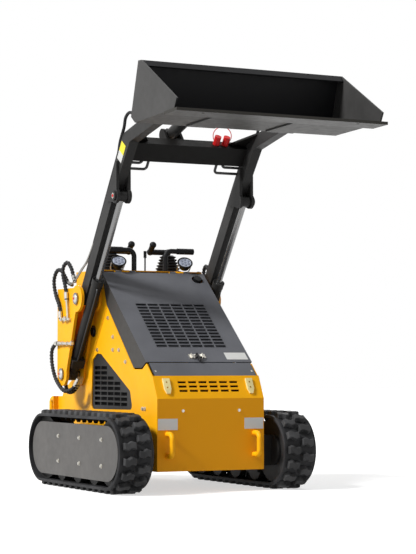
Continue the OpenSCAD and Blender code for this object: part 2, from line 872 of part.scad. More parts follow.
module filler_cap() {
    depth = sheet + hood_gap;
    at = hood_front + (hood_l - cap_down) * hood_dir;
    neck_z = front_foot[1] + floor_t + engine_size[2];
    color(black) placed() {
        on_hood() translate([cap_x, hood_l - cap_down, -depth]) cylinder(r = cap_r, h = depth + cap_h);
        translate([cap_x, at[0], neck_z]) cylinder(r = cap_r / 2, h = at[1] - neck_z);
    }
}

module hood_knuckle(x) {
    difference() {
        union() {
            pin(hinge_at, hinge_r, x, x + hinge_l - 2 * side_play);
            plate(x, x + hinge_l - 2 * side_play)
                polygon(band([hood_rear - hinge_r * hood_dir, hood_rear, hinge_at], -hood_sheet));
        }
        pin(hinge_at, hinge_pin_r + running_fit, x - overrun, x + hinge_l);
    }
}

module hood() {
    color(dark) placed() {
        for (x = [-hinge_x - hinge_l + side_play, -hinge_x + hinge_l + side_play,
            hinge_x - 2 * hinge_l + side_play, hinge_x + side_play]) hood_knuckle(x);
        hood_shell();
    }
}

module hood_shell() {
    difference() {
        union() {
            plate(-hood_w / 2, hood_w / 2) polygon(band([hood_front, hood_rear], -hood_sheet));
            for (x = [-hood_w / 2, hood_w / 2 - hood_sheet]) plate(x, x + hood_sheet) polygon(flange_edge);
        }
        on_hood() {
            translate([-louvre_w / 2 - seat, louvre_start - seat, -hood_sheet - overrun])
                cube([louvre_w + 2 * seat, louvre_end - louvre_start + 2 * seat, hood_sheet + 2 * overrun]);
            translate([cap_x, hood_l - cap_down, -hood_sheet - overrun])
                cylinder(r = cap_r + cap_gap, h = hood_sheet + 2 * overrun);
        }
    }
}

module hood_grille() {
    l = louvre_pitch * louvre_length_share;
    h = louvre_rise * louvre_height_share;
    color(dark) placed() on_hood() difference() {
        translate([-louvre_w / 2, louvre_start, -hood_sheet])
            cube([louvre_w, louvre_end - louvre_start, hood_sheet]);
        for (i = [0:louvre_cols - 1], j = [0:louvre_rows - 1])
            translate([(i + 1 / 2) * louvre_pitch - louvre_w / 2 - l / 2,
                louvre_start + (j + 1 / 2) * louvre_rise - h / 2, -hood_sheet - overrun])
                cube([l, h, hood_sheet + 2 * overrun]);
    }
}

module pad_outline() {
    tip = pad_w * pad_point_shares[0];
    difference() {
        polygon([[-tip, 0], [tip, 0], [pad_w / 2, pad_l * pad_point_shares[1]], [pad_w / 2, pad_l],
            [-pad_w / 2, pad_l], [-pad_w / 2, pad_l * pad_point_shares[1]]]);
        for (h = pad_hole_shares) translate([0, pad_l * h]) circle(r = pad_hole_r);
    }
}

module arm_rest_pads() {
    color(grey) placed() translate([0, front_bend[0], front_bend[1]]) rotate([front_angle, 0, 0])
        for (x = [-pad_x, pad_x]) translate([x, front_slope * vent_mid_share - pad_l / 2, 0])
            linear_extrude(height = pad_t) pad_outline();
}

module tie_loop(h) {
    reach = tie_out - tie_bend;
    for (z = [0, h]) translate([0, 0, z]) rotate([90, 0, 0]) cylinder(r = tie_r, h = reach);
    translate([0, -tie_out, tie_bend]) cylinder(r = tie_r, h = h - 2 * tie_bend);
    translate([0, -reach, tie_bend]) rotate([0, -90, 0]) rotate([0, 0, 180])
        rotate_extrude(angle = 90) translate([tie_bend, 0]) circle(r = tie_r);
    translate([0, -reach, h - tie_bend]) rotate([0, -90, 0]) rotate([0, 0, 270])
        rotate_extrude(angle = 90) translate([tie_bend, 0]) circle(r = tie_r);
}

module tie_downs() {
    color(yellow) placed() {
        for (x = [-tie_x, tie_x]) translate([x, front_foot[0], tie_z]) tie_loop(tie_h);
        for (x = [-rear_tie_x, rear_tie_x])
            translate([x, wing_rear, rear_tie_z]) mirror([0, 1, 0]) tie_loop(tie_h);
    }
}

module platform() {
    color(dark) placed() {
        translate([-platform_w / 2, rear_y + sheet, platform_z - platform_t])
            cube([platform_w, rear_end - rear_y - sheet, platform_t]);
        for (x = [-platform_w / 2, platform_w / 2 - floor_t])
            plate(x, x + floor_t) polygon([[rear_y + sheet, front_foot[1]], [rear_end, platform_z - 2 * floor_t],
                [rear_end, platform_z - platform_t], [rear_y + sheet, platform_z - platform_t]]);
    }
}

module on_lamp(x) {
    placed() translate([x, lamp_y, lamp_z]) rotate([lamp_tilt - 90, 0, 0]) children();
}

module work_lamps() {
    color(black) for (x = [-lamp_x, lamp_x]) {
        on_lamp(x) translate([0, 0, lens_t]) cylinder(r = lamp_r, h = lamp_d - lens_t);
        placed() translate([x - stem_r, lamp_y + lamp_r + lens_t, console_z])
            cube([2 * stem_r, stem_r, lamp_z + lens_t - console_z]);
    }
}

module lamp_lenses() {
    color(steel) for (x = [-lamp_x, lamp_x]) on_lamp(x) cylinder(r = lamp_r - lens_t, h = lens_t);
}

module grab_bars() {
    color(black) for (s = [-1, 1]) side(s) translate([0, grab_y, 0]) {
        translate([grab_x, 0, console_z]) cylinder(r = grab_r, h = grab_z - grab_bend - console_z);
        translate([grab_x + grab_bend, 0, grab_z - grab_bend]) rotate([90, 0, 0]) rotate([0, 0, 90])
            rotate_extrude(angle = 90) translate([grab_bend, 0]) circle(r = grab_r);
        translate([grab_x + grab_bend, 0, grab_z]) rotate([0, 90, 0])
            cylinder(r = grab_r, h = grab_end - grab_x - grab_bend);
        translate([grab_x + 2 * grab_bend, 0, grab_z]) rotate([0, 90, 0])
            cylinder(r = grip_r, h = grab_end - grab_x - 2 * grab_bend);
    }
}

module lever_boots() {
    fold = boot_h / boot_folds;
    slope = (boot_top_r - boot_r) / boot_folds;
    color(black) for (s = [-1, 1]) side(s) translate([lever_x, lever_y, console_z])
        rotate_extrude() polygon(concat([[stem_r + seat, 0], [boot_r, 0]],
            [for (i = [0:boot_folds - 1]) each let (r = boot_r + i * slope, z = i * fold)
                [[r, z + boot_shares[0] * fold], [r, z + boot_shares[1] * fold],
                    [r + slope - boot_ridge, z + boot_shares[2] * fold], [r + slope - boot_ridge, z + fold]]],
            [[stem_r + seat, boot_h]]));
}

module drive_levers() {
    color(black) {
        for (s = [-1, 1]) side(s) translate([0, lever_y, 0]) {
            translate([lever_x, 0, console_z]) cylinder(r = stem_r, h = lever_z - console_z);
            translate([lever_in, 0, lever_z]) rotate([0, 90, 0])
                cylinder(r = lever_bar_r, h = lever_x - lever_in);
            translate([lever_x, 0, lever_z]) sphere(r = lever_joint_r);
            translate([lever_in, 0, lever_z]) sphere(r = lever_joint_r);
            translate([lever_in, 0, lever_z]) rotate([lever_lean, 0, 0]) {
                cylinder(r = lever_bar_r, h = lever_up);
                translate([0, 0, lever_up]) sphere(r = lever_joint_r);
            }
        }
        placed() translate([0, lever_y - boot_r, console_z]) {
            cylinder(r = throttle_r / 2, h = throttle_h);
            translate([0, 0, throttle_h - throttle_l / 2]) cylinder(r = throttle_r, h = throttle_l);
        }
    }
}

hose_x = tower_x + tower_outer + 2 * hose_r;

module hose_stub(p) {
    pin(p, hose_r + running_fit, tower_x + tower_outer, hose_x);
}

module hose_line(p, q) {
    d = q - p;
    translate([hose_x, p[0], p[1]]) rotate([atan2(d[1], d[0]) - 90, 0, 0]) cylinder(r = hose_r, h = norm(d));
}

module hose_arc(c, r, start, sweep) {
    translate([hose_x, c[0], c[1]]) rotate([90, 0, 90]) rotate([0, 0, start])
        rotate_extrude(angle = sweep) translate([r, 0]) circle(r = hose_r);
}

module tower_hoses() {
    upper_c = hose_upper + [-hose_upper_r, hose_rise];
    lower_c = hose_lower + [0, -hose_lower_r];
    color(black) for (s = [-1, 1]) side(s) {
        hose_stub(hose_upper);
        hose_line(hose_upper - [0, hose_r], upper_c + [hose_upper_r, 0]);
        hose_arc(upper_c, hose_upper_r, 0, 180);
        hose_line(upper_c - [hose_upper_r, 0], upper_c - [hose_upper_r, hose_rise / 3]);
        hose_stub(hose_lower - [hose_run, 0]);
        hose_line(hose_lower - [hose_run + hose_r, 0], hose_lower);
        hose_arc(lower_c, hose_lower_r, -90, 180);
        hose_line(lower_c - [0, hose_lower_r], lower_c - [hose_run / 2, hose_lower_r]);
    }
}

module arm_outline() {
    end_in = arm_end_r * arm_end_share;
    translate(arm_pivot) circle(r = arm_boss_r - side_play);
    translate(bucket_pivot) circle(r = arm_end_r);
    polygon([on_beam(pivot_s, 0), knee_out, neck_top, neck_tip,
        bucket_pivot + [0, end_in], bucket_pivot - [0, end_in], neck_low, knee_in,
        on_beam(rod_s, beam_depth), on_beam(pivot_s, beam_depth)]);
}

module rod_lug() {
    translate(rod_pin) circle(r = rod_lug_r);
    polygon([on_beam(rod_s - beam_depth, beam_depth / 2), on_beam(rod_s - rod_lug_r, rod_d),
        on_beam(rod_s + rod_lug_r, rod_d), on_beam(rod_s + 2 * beam_depth, beam_depth / 2)]);
}

module arm(s) {
    side(s) difference() {
        union() {
            plate(arm_in, arm_out) arm_outline();
            pin(arm_pivot, arm_boss_r, half_w + tower_inner + side_play, tower_x - side_play);
            plate(arm_out, arm_out + lug_t) rod_lug();
            plate(arm_in - lug_t, arm_in) rod_lug();
            pin(rod_pin, cyl_pin_r + pin_cap_t, arm_out + lug_t, arm_out + lug_t + pin_cap_t);
        }
        pin(arm_pivot, arm_pin_r + running_fit, half_w, tower_x);
        pin(bucket_pivot, arm_pin_r + running_fit, arm_in - overrun, arm_out + overrun);
    }
}

module arm_right() {
    color(dark) arm(-1);
}

module arm_left() {
    color(dark) arm(1);
}

module on_arm() {
    translate([0, tube_mid[0], tube_mid[1]]) rotate([-beam_angle, 0, 0]) children();
}

module cross_tube() {
    lug_half = tilt_space / 2;
    color(dark) placed() {
        on_arm() difference() {
            translate([-arm_in, -tube_l / 2, -tube_d / 2]) cube([2 * arm_in, tube_l, tube_d]);
            translate([-arm_in - overrun, tube_wall - tube_l / 2, tube_wall - tube_d / 2])
                cube([2 * (arm_in + overrun), tube_l - 2 * tube_wall, tube_d - 2 * tube_wall]);
        }
        for (x = [tilt_x - lug_half - tilt_lug_t, tilt_x + lug_half]) plate(x, x + tilt_lug_t) {
            translate(tilt_base) circle(r = tilt_lug_r);
            polygon([tube_mid - tube_l / 2 * beam_dir - tube_d / 2 * beam_front,
                tilt_base - tilt_lug_r * beam_dir, tilt_base + tilt_lug_r * beam_dir,
                tube_mid + tube_l / 2 * beam_dir - tube_d / 2 * beam_front]);
        }
        pin(tilt_base, cyl_pin_r, tilt_x - lug_half - tilt_lug_t / 2, tilt_x + lug_half + tilt_lug_t / 2);
        for (s = [-1, 1]) mirror([s < 0 ? 1 : 0, 0, 0])
            translate([0, gusset_at[0], gusset_at[1]]) rotate([-gusset_angle, 0, 0]) linear_extrude(gusset_t)
                polygon([[arm_in - gusset_w, 0], [arm_in, 0], [arm_in, -gusset_l]]);
    }
}

module hydraulic_couplers() {
    color(red) placed() on_arm() for (i = [-1, 1])
        translate([coupler_x + i * coupler_pitch / 2, -tube_l / 2, 0]) rotate([90, 0, 0])
            cylinder(r = coupler_r, h = coupler_l);
}

module arm_lines() {
    color(black) for (s = [-1, 1], i = [0, 1]) side(s) on_arm()
        translate([pipe_x + i * pipe_pitch, tube_l / 2, 0]) {
            drop = pipe_drop - i * pipe_pitch;
            rotate([-90, 0, 0]) cylinder(r = pipe_r, h = drop - pipe_bend);
            translate([pipe_bend, drop - pipe_bend, 0]) rotate([0, 0, 90])
                rotate_extrude(angle = 90) translate([pipe_bend, 0]) circle(r = pipe_r);
            translate([pipe_bend, drop, 0]) rotate([0, 90, 0])
                cylinder(r = pipe_r, h = arm_in - pipe_x - i * pipe_pitch - pipe_bend);
        }
}

module along(p, x, a) {
    translate([x, p[0], p[1]]) rotate([90 - a, 0, 0]) children();
}

module barrel(p, x, a, r, rod_r, l) {
    difference() {
        union() {
            pin(p, eye_r, x - eye_w / 2, x + eye_w / 2);
            along(p, x, a) {
                cylinder(r = r, h = l);
                translate([0, 0, l - gland_l]) cylinder(r = r + gland_up, h = gland_l);
            }
        }
        pin(p, cyl_pin_r + running_fit, x - r - overrun, x + r + overrun);
        for (d = [-1, 1]) pin(p, eye_r + overrun, x + d * (eye_w / 2 + r / 2) - r / 2, x + d * (eye_w / 2 + r / 2) + r / 2);
        along(p, x, a) translate([0, 0, barrel_foot]) cylinder(r = rod_r + running_fit, h = l);
    }
}

module rod(p, x, a, r, len_full, l) {
    along(p, x, a) translate([0, 0, len_full - l]) cylinder(r = r, h = l);
    pin(p + len_full * [-cos(a), sin(a)], rod_eye_r, x - eye_w / 2, x + eye_w / 2);
}

module lift_barrel(s) {
    side(s) barrel(base_pivot, arm_mid, lift_angle, lift_barrel_r, lift_rod_r, lift_barrel_l);
}

module lift_barrel_right() {
    color(dark) lift_barrel(-1);
}

module lift_barrel_left() {
    color(dark) lift_barrel(1);
}

module lift_rod(s) {
    side(s) rod(base_pivot, arm_mid, lift_angle, lift_rod_r, lift_len, lift_rod_l);
}

module lift_rod_right() {
    color(steel) lift_rod(-1);
}

module lift_rod_left() {
    color(steel) lift_rod(1);
}

module tilt_barrel() {
    color(dark) placed() barrel(tilt_base, tilt_x, tilt_angle, tilt_barrel_r, tilt_rod_r, tilt_barrel_l);
}

module tilt_rod() {
    color(steel) placed() rod(tilt_base, tilt_x, tilt_angle, tilt_rod_r, tilt_len, tilt_rod_l);
}

module bucket() {
    half = bucket_w / 2;
    wear_y = edge_l - edge_ahead + wear_gap;
    color(dark) placed() {
        plate(-half + bucket_t / 2, half - bucket_t / 2)
            polygon(band([bucket_lip, bucket_heel, back_low, back_top, top_lip, lip_tip], bucket_t));
        for (x = [-half, half - bucket_t]) plate(x, x + bucket_t)
            polygon([bucket_lip, bucket_heel, back_low, back_top, top_lip, side_front]);
        for (x = [-wear_x, wear_x]) translate([x - wear_w / 2, bucket_heel[0], bucket_heel[1]])
            rotate([-floor_angle, 0, 0]) translate([0, wear_y - floor_l, -wear_t])
                cube([wear_w, floor_l - wear_y - wear_gap, wear_t + bucket_t / 2]);
    }
}

module cutting_edge() {
    color(grey) placed() translate([0, bucket_lip[0], bucket_lip[1]]) rotate([-floor_angle, 0, 0]) difference() {
        translate([-edge_w / 2, -edge_ahead, -edge_t]) cube([edge_w, edge_l, edge_t]);
        for (x = [-edge_hole_span / 2, edge_hole_span / 2])
            translate([x, -edge_ahead / 3, -edge_t - overrun]) cylinder(r = edge_hole_r, h = edge_t + 2 * overrun);
    }
}

module attach_plate() {
    lug_in = arm_in - side_play;
    lug_out = arm_out + side_play;
    tilt_half = tilt_space / 2;
    plate_l = back_l * attach_share;
    color(dark) placed() {
        difference() {
            translate([0, back_low[0], back_low[1]]) rotate([back_angle, 0, 0])
                translate([-attach_w / 2, 0, -attach_t]) cube([attach_w, plate_l, attach_t]);
            translate([tilt_x, back_low[0], back_low[1]]) rotate([back_angle, 0, 0])
                translate([-tilt_half, (tilt_pin - back_low) * back_dir - window_half, -attach_t - overrun])
                    cube([tilt_space, 2 * window_half, attach_t + 2 * overrun]);
        }
        for (s = [-1, 1]) mirror([s < 0 ? 1 : 0, 0, 0]) {
            for (x = [lug_in - tilt_lug_t, lug_out]) plate(x, x + tilt_lug_t) attach_lug(bucket_pivot);
            pin(bucket_pivot, arm_pin_r, lug_in - tilt_lug_t / 2, lug_out + tilt_lug_t / 2);
        }
        for (x = [tilt_x - tilt_half - tilt_lug_t, tilt_x + tilt_half]) plate(x, x + tilt_lug_t) attach_lug(tilt_pin);
    }
}

module attach_lug(p) {
    s = (p - back_low) * back_dir;
    translate(p) circle(r = tilt_lug_r);
    polygon([p + tilt_lug_r * back_dir, p - tilt_lug_r * back_dir,
        back_low + (s - 2 * tilt_lug_r) * back_dir + attach_t / 2 * back_out,
        back_low + min(s + 2 * tilt_lug_r, back_l * attach_share) * back_dir + attach_t / 2 * back_out]);
}

chassis();
front_panel();
front_strip();
side_panel_right();
side_panel_left();
side_grille_right();
side_grille_left();
tower_right();
tower_left();
rear_panel();
console();
engine();
filler_cap();
track_right();
track_left();
track_wheels();
track_frame_right();
track_frame_left();
track_covers();
pivot_pins();
arm_rest_pads();
tie_downs();
platform();
work_lamps();
lamp_lenses();
grab_bars();
lever_boots();
drive_levers();
tower_hoses();
arm_right();
arm_left();
cross_tube();
hydraulic_couplers();
arm_lines();
lift_barrel_right();
lift_barrel_left();
lift_rod_right();
lift_rod_left();
tilt_barrel();
tilt_rod();
bucket();
cutting_edge();
attach_plate();
hood();
hood_grille();
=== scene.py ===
"""Dresses the small tracked loader: materials, hoses, tracks, fasteners, lamps, floor, light and camera."""
import json
from math import cos, pi, radians, sin

import bmesh
import bpy
from mathutils import Matrix, Vector


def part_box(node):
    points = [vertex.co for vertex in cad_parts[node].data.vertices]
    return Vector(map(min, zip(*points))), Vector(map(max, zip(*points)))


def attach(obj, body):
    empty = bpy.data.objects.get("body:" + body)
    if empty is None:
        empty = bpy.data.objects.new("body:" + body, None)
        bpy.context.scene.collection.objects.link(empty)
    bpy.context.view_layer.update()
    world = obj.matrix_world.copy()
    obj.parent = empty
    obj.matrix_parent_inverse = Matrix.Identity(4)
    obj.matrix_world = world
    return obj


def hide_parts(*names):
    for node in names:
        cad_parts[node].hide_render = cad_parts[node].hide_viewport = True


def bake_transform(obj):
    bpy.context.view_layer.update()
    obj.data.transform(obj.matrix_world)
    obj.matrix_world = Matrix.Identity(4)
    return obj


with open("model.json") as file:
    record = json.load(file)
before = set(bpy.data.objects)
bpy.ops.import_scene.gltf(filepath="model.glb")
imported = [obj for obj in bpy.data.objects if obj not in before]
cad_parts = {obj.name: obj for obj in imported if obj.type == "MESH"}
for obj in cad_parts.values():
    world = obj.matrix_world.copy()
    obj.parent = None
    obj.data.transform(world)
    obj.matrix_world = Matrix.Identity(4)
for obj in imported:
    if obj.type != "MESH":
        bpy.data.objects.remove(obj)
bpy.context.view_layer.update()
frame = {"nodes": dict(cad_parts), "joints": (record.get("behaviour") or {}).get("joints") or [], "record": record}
nodes = frame["nodes"]
joints = {joint["name"]: joint for joint in frame["joints"]}
slot_of = {part["node"]: part["material_slot"] for part in frame["record"]["subparts"]}
scene = bpy.context.scene

# Places: millimetres across, back from the tracks' front, and up

MM = 0.001
ORIGIN_BACK = 435.0
ACROSS, BACK, UP = 0, 1, 2
LOW, HIGH = 0, 1
SIDES = {"right": -1, "left": 1}


def at(x, back, up):
    """A point of the frame, from a place in millimetres."""
    return Vector((x * MM, (back - ORIGIN_BACK) * MM, up * MM))


def reach(node, end, axis):
    """How far a node reaches along an axis, in millimetres."""
    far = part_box(node)[end][axis] / MM
    return far + ORIGIN_BACK if axis == BACK else far


def pivot(joint):
    """A hinge's place in the side view, back and up."""
    place = joints[joint]["pos_m"]
    return Vector((place[BACK] / MM + ORIGIN_BACK, place[UP] / MM))


def square(direction):
    """The direction of the side view that stands square on another, to its front."""
    return Vector((-direction.y, direction.x))


def along_line(start, direction):
    """A function that gives places along a line of the side view, and out from it to its front."""
    def place(x, along, out=0.0):
        spot = start + direction * along + square(direction) * out
        return (x, spot.x, spot.y)
    return place


# Places that the frame gives

WALL_X = reach("tower_left", LOW, ACROSS)
TOWER_X = reach("tower_left", HIGH, ACROSS)
COVER_X = reach("track_covers", HIGH, ACROSS)
BELT_X = reach("track_left", HIGH, ACROSS)
BELT_W = BELT_X - reach("track_left", LOW, ACROSS)
PIN_X = reach("pivot_pins", HIGH, ACROSS)
ARM_X = reach("arm_left", HIGH, ACROSS)
ROD_X = reach("lift_rod_left", LOW, ACROSS)
ROD_W = reach("lift_rod_left", HIGH, ACROSS) - ROD_X
FRONT_Y = reach("front_panel", LOW, BACK)
REAR_Y = reach("rear_panel", HIGH, BACK)
CONSOLE_Z = reach("console", HIGH, UP)
DECK_Z = reach("platform", HIGH, UP)
ARM_PIVOT = pivot("arm_lift")
BASE_PIVOT = pivot("lift_barrel_left_swing")
LIFT_X = joints["lift_barrel_left_swing"]["pos_m"][ACROSS] / MM

# Lines of the side view: ends read off the part's outline

HOOD_FOOT, HOOD_HEAD = Vector((245.0, 628.0)), Vector((783.0, 1089.0))
BEAM_FOOT, BEAM_HEAD = Vector((705.0, 1245.0)), Vector((354.0, 1744.0))
SLOPE_FOOT, SLOPE_HEAD = Vector((118.6, 451.5)), Vector((172.0, 561.0))
ROD_PIN = Vector((418.0, 1444.0))
HOOD_DIR = (HOOD_HEAD - HOOD_FOOT).normalized()
BEAM_DIR = (BEAM_HEAD - BEAM_FOOT).normalized()
SLOPE_DIR = (SLOPE_HEAD - SLOPE_FOOT).normalized()
LIFT_DIR = (ROD_PIN - BASE_PIVOT).normalized()
on_hood = along_line(HOOD_FOOT, HOOD_DIR)
on_beam = along_line(BEAM_FOOT, BEAM_DIR)
on_slope = along_line(SLOPE_FOOT, SLOPE_DIR)
on_lift = along_line(BASE_PIVOT, LIFT_DIR)

# Materials

WHITE = (1.0, 1.0, 1.0, 1.0)
YELLOW = (0.93, 0.43, 0.005)
PAINT_GRAIN, RUBBER_GRAIN, METAL_GRAIN, GLASS_GRAIN = 0.4 * MM, 0.8 * MM, 0.2 * MM, 0.3 * MM
RUBBER_GLOSS, RUBBER_DUST = 0.2, 2.6
PLASTIC_GLOSS, PLASTIC_SHEEN, LEAST_SHEEN = 0.15, 1.35, 0.001
GLASS_CLEAR, GLASS_IOR = 0.9, 1.45


def shader(name, colour, rough, metal=0.0):
    """A principled material with its base values set on the sockets."""
    mat = bpy.data.materials.new(name)
    mat.use_nodes = True
    bsdf = mat.node_tree.nodes["Principled BSDF"]
    bsdf.inputs["Base Color"].default_value = (*colour, 1.0)
    bsdf.inputs["Roughness"].default_value = rough
    bsdf.inputs["Metallic"].default_value = metal
    return mat, mat.node_tree, bsdf


def noise(tree, scale, detail=4.0):
    """A noise texture on object coordinates."""
    coords = tree.nodes.new("ShaderNodeTexCoord")
    tex = tree.nodes.new("ShaderNodeTexNoise")
    tex.inputs["Scale"].default_value = scale
    tex.inputs["Detail"].default_value = detail
    tree.links.new(coords.outputs["Object"], tex.inputs["Vector"])
    return tex.outputs["Fac"]


def tone(tree, bsdf, fac, low, high, start=0.35, end=0.65):
    """Spreads the base colour between two colours by a factor."""
    node = tree.nodes.new("ShaderNodeValToRGB")
    node.color_ramp.elements[0].position = start
    node.color_ramp.elements[1].position = end
    node.color_ramp.elements[0].color = (*low, 1.0)
    node.color_ramp.elements[1].color = (*high, 1.0)
    tree.links.new(fac, node.inputs["Fac"])
    tree.links.new(node.outputs["Color"], bsdf.inputs["Base Color"])


def uneven(tree, bsdf, fac, low, high):
    """Spreads the roughness between two values by a factor."""
    node = tree.nodes.new("ShaderNodeMapRange")
    node.inputs["To Min"].default_value = low
    node.inputs["To Max"].default_value = high
    tree.links.new(fac, node.inputs["Value"])
    tree.links.new(node.outputs["Result"], bsdf.inputs["Roughness"])


def bump(tree, bsdf, fac, strength, depth):
    """Adds a bump from a factor."""
    node = tree.nodes.new("ShaderNodeBump")
    node.inputs["Strength"].default_value = strength
    node.inputs["Distance"].default_value = depth
    tree.links.new(fac, node.inputs["Height"])
    tree.links.new(node.outputs["Normal"], bsdf.inputs["Normal"])


def paint(name, colour, rough, wear, grain=900.0, strength=0.08, gloss=0.5):
    """Sprayed paint: faint cloudy tone, orange-peel grain and uneven gloss."""
    mat, tree, bsdf = shader(name, colour, rough)
    dim = tuple(c * (1.0 - wear) for c in colour)
    lit = tuple(min(1.0, c * (1.0 + wear)) for c in colour)
    tone(tree, bsdf, noise(tree, scale=5.0, detail=6.0), dim, lit)
    uneven(tree, bsdf, noise(tree, scale=30.0), low=rough * 0.8, high=rough * 1.25)
    bsdf.inputs["Specular IOR Level"].default_value = gloss
    bump(tree, bsdf, noise(tree, scale=grain, detail=2.0), strength, depth=PAINT_GRAIN)
    return mat


def rubber(name, colour, rough=0.62):
    """Moulded rubber with fine grain and a dusty bloom."""
    mat, tree, bsdf = shader(name, colour, rough)
    bsdf.inputs["Specular IOR Level"].default_value = RUBBER_GLOSS
    dusty = tuple(c * RUBBER_DUST for c in colour)
    tone(tree, bsdf, noise(tree, scale=9.0, detail=8.0), colour, dusty, start=0.4, end=0.75)
    uneven(tree, bsdf, noise(tree, scale=24.0), low=rough * 0.85, high=rough * 1.2)
    bump(tree, bsdf, noise(tree, scale=260.0, detail=3.0), strength=0.25, depth=RUBBER_GRAIN)
    return mat


def bright(name, colour, rough):
    """Ground or plated metal with fine marks."""
    mat, tree, bsdf = shader(name, colour, rough, metal=1.0)
    marks = noise(tree, scale=120.0, detail=3.0)
    uneven(tree, bsdf, marks, low=rough * 0.7, high=rough * 1.5)
    bump(tree, bsdf, marks, strength=0.05, depth=METAL_GRAIN)
    return mat


def plastic(name, colour, rough=0.45):
    """Moulded plastic with a fine leather grain."""
    mat, tree, bsdf = shader(name, colour, rough)
    bsdf.inputs["Specular IOR Level"].default_value = PLASTIC_GLOSS
    lit = tuple(c * PLASTIC_SHEEN + LEAST_SHEEN for c in colour)
    tone(tree, bsdf, noise(tree, scale=14.0), colour, lit)
    bump(tree, bsdf, noise(tree, scale=600.0, detail=2.0), strength=0.12, depth=PAINT_GRAIN)
    return mat


def glass(name, colour, rough):
    """Clear glass with a faint ripple."""
    mat, tree, bsdf = shader(name, colour, rough)
    bsdf.inputs["Transmission Weight"].default_value = GLASS_CLEAR
    bsdf.inputs["IOR"].default_value = GLASS_IOR
    bump(tree, bsdf, noise(tree, scale=200.0), strength=0.1, depth=GLASS_GRAIN)
    return mat


def paint_shade_by_facing(mat, shades):
    """Paints shade into the colour of the faces that look along an axis, from one share of it to another."""
    tree = mat.node_tree
    bsdf = tree.nodes["Principled BSDF"]
    coords = tree.nodes.new("ShaderNodeTexCoord")
    split = tree.nodes.new("ShaderNodeSeparateXYZ")
    tree.links.new(coords.outputs["Normal"], split.inputs["Vector"])
    for axis, low, high, colour in shades:
        facing = tree.nodes.new("ShaderNodeMapRange")
        facing.inputs["From Min"].default_value = low
        facing.inputs["From Max"].default_value = high
        tree.links.new(split.outputs[axis], facing.inputs["Value"])
        mix = tree.nodes.new("ShaderNodeMix")
        mix.data_type = "RGBA"
        mix.inputs["B"].default_value = (*colour, 1.0)
        source = bsdf.inputs["Base Color"].links[0].from_socket
        tree.links.new(source, mix.inputs["A"])
        tree.links.new(facing.outputs["Result"], mix.inputs["Factor"])
        tree.links.new(mix.outputs["Result"], bsdf.inputs["Base Color"])


materials = {
    "body_paint": paint("body paint", YELLOW, rough=0.42, wear=0.04, gloss=0.15),
    "hood_paint": paint("hood paint", (0.112, 0.115, 0.128), rough=0.45, wear=0.10, grain=1400.0,
                        strength=0.15, gloss=0.2),
    "dark_paint": paint("arm paint", (0.028, 0.0275, 0.027), rough=0.45, wear=0.12, gloss=0.15),
    "cover_paint": paint("cover paint", (0.066, 0.062, 0.058), rough=0.5, wear=0.10),
    "pad_plastic": plastic("pad plastic", (0.72, 0.62, 0.30), rough=0.5),
    "edge_steel": paint("edge paint", (0.026, 0.024, 0.020), rough=0.42, wear=0.12, gloss=0.2),
    "bright_steel": bright("plated steel", (0.24, 0.24, 0.24), rough=0.22),
    "track_rubber": rubber("track rubber", (0.016, 0.016, 0.017)),
    "black_plastic": plastic("black plastic", (0.006, 0.006, 0.0065)),
    "boot_rubber": rubber("boot rubber", (0.006, 0.006, 0.0065), rough=0.55),
    "coupler_red": plastic("red cap", (0.48, 0.012, 0.012), rough=0.3),
    "line_steel": paint("pipe paint", (0.02, 0.02, 0.021), rough=0.35, wear=0.1),
    "lens": glass("lamp glass", (0.9, 0.93, 0.95), rough=0.05),
}
bucket_paint = paint("bucket paint", (0.050, 0.049, 0.048), rough=0.46, wear=0.14, gloss=0.2)
# Darker than the arm paint: painted shadow of the bucket on the cross tube
tube_paint_with_painted_shadow = paint("tube paint with painted shadow", (0.009, 0.0085, 0.008), rough=0.5, wear=0.12, gloss=0.1)
plate_white = paint("blank plate", (0.62, 0.62, 0.60), rough=0.4, wear=0.03)
plate_yellow = paint("blank warning plate", (0.85, 0.72, 0.02), rough=0.4, wear=0.03)
zinc = bright("zinc", (0.60, 0.58, 0.53), rough=0.32)
dull_steel = bright("dull fitting", (0.30, 0.29, 0.27), rough=0.38)
hose_rubber = rubber("hose rubber", (0.013, 0.013, 0.014), rough=0.5)
# Lugs lighter than the belt: partly dust, partly a painted highlight on the lug tops
lug_rubber_dust_and_highlight = rubber("lug rubber dust and painted highlight", (0.030, 0.030, 0.031))
red_plastic = materials["coupler_red"]
# Near-black sheets behind the openings: painted shade of the inside
painted_shade_inside = plastic("painted shade inside", (0.004, 0.004, 0.0045), rough=0.8)
# Lamp faces and cells: pale bluish plastic in place of chrome reflectors, a painted reflection
lamp_face_painted_reflection = plastic("lamp face painted reflection", (0.34, 0.37, 0.44), rough=0.3)
reflector = plastic("reflector", (0.20, 0.22, 0.28), rough=0.2)

# Painted shade by the way that faces look: the bucket's hollow and underside, the hood's sides, the front panel

HOLLOW_PAINTED_SHADE, UNDERSIDE_PAINTED_SHADE = (0.006, 0.006, 0.007), (0.020, 0.018, 0.014)
FOLD_PAINTED_SHADE, FRONT_PAINTED_SHADE = (0.045, 0.042, 0.039), (0.86, 0.36, 0.004)
# Painted shade on the bucket: the hollow back darker, the underside darker and warm as a painted reflection of the
# ground
paint_shade_by_facing(bucket_paint, (("Y", -0.50, -0.66, HOLLOW_PAINTED_SHADE), ("Z", -0.75, -0.92, UNDERSIDE_PAINTED_SHADE)))
# Painted shade on the hood's folded sides, on both sides across
paint_shade_by_facing(materials["hood_paint"], (("X", -0.30, -0.50, FOLD_PAINTED_SHADE), ("X", 0.30, 0.50, FOLD_PAINTED_SHADE)))
# Painted shade: faces that look straight forward turn darker and more orange, as the front panel in shade
paint_shade_by_facing(materials["body_paint"], (("Y", -0.92, -0.98, FRONT_PAINTED_SHADE),))

# The CAD nodes' finish

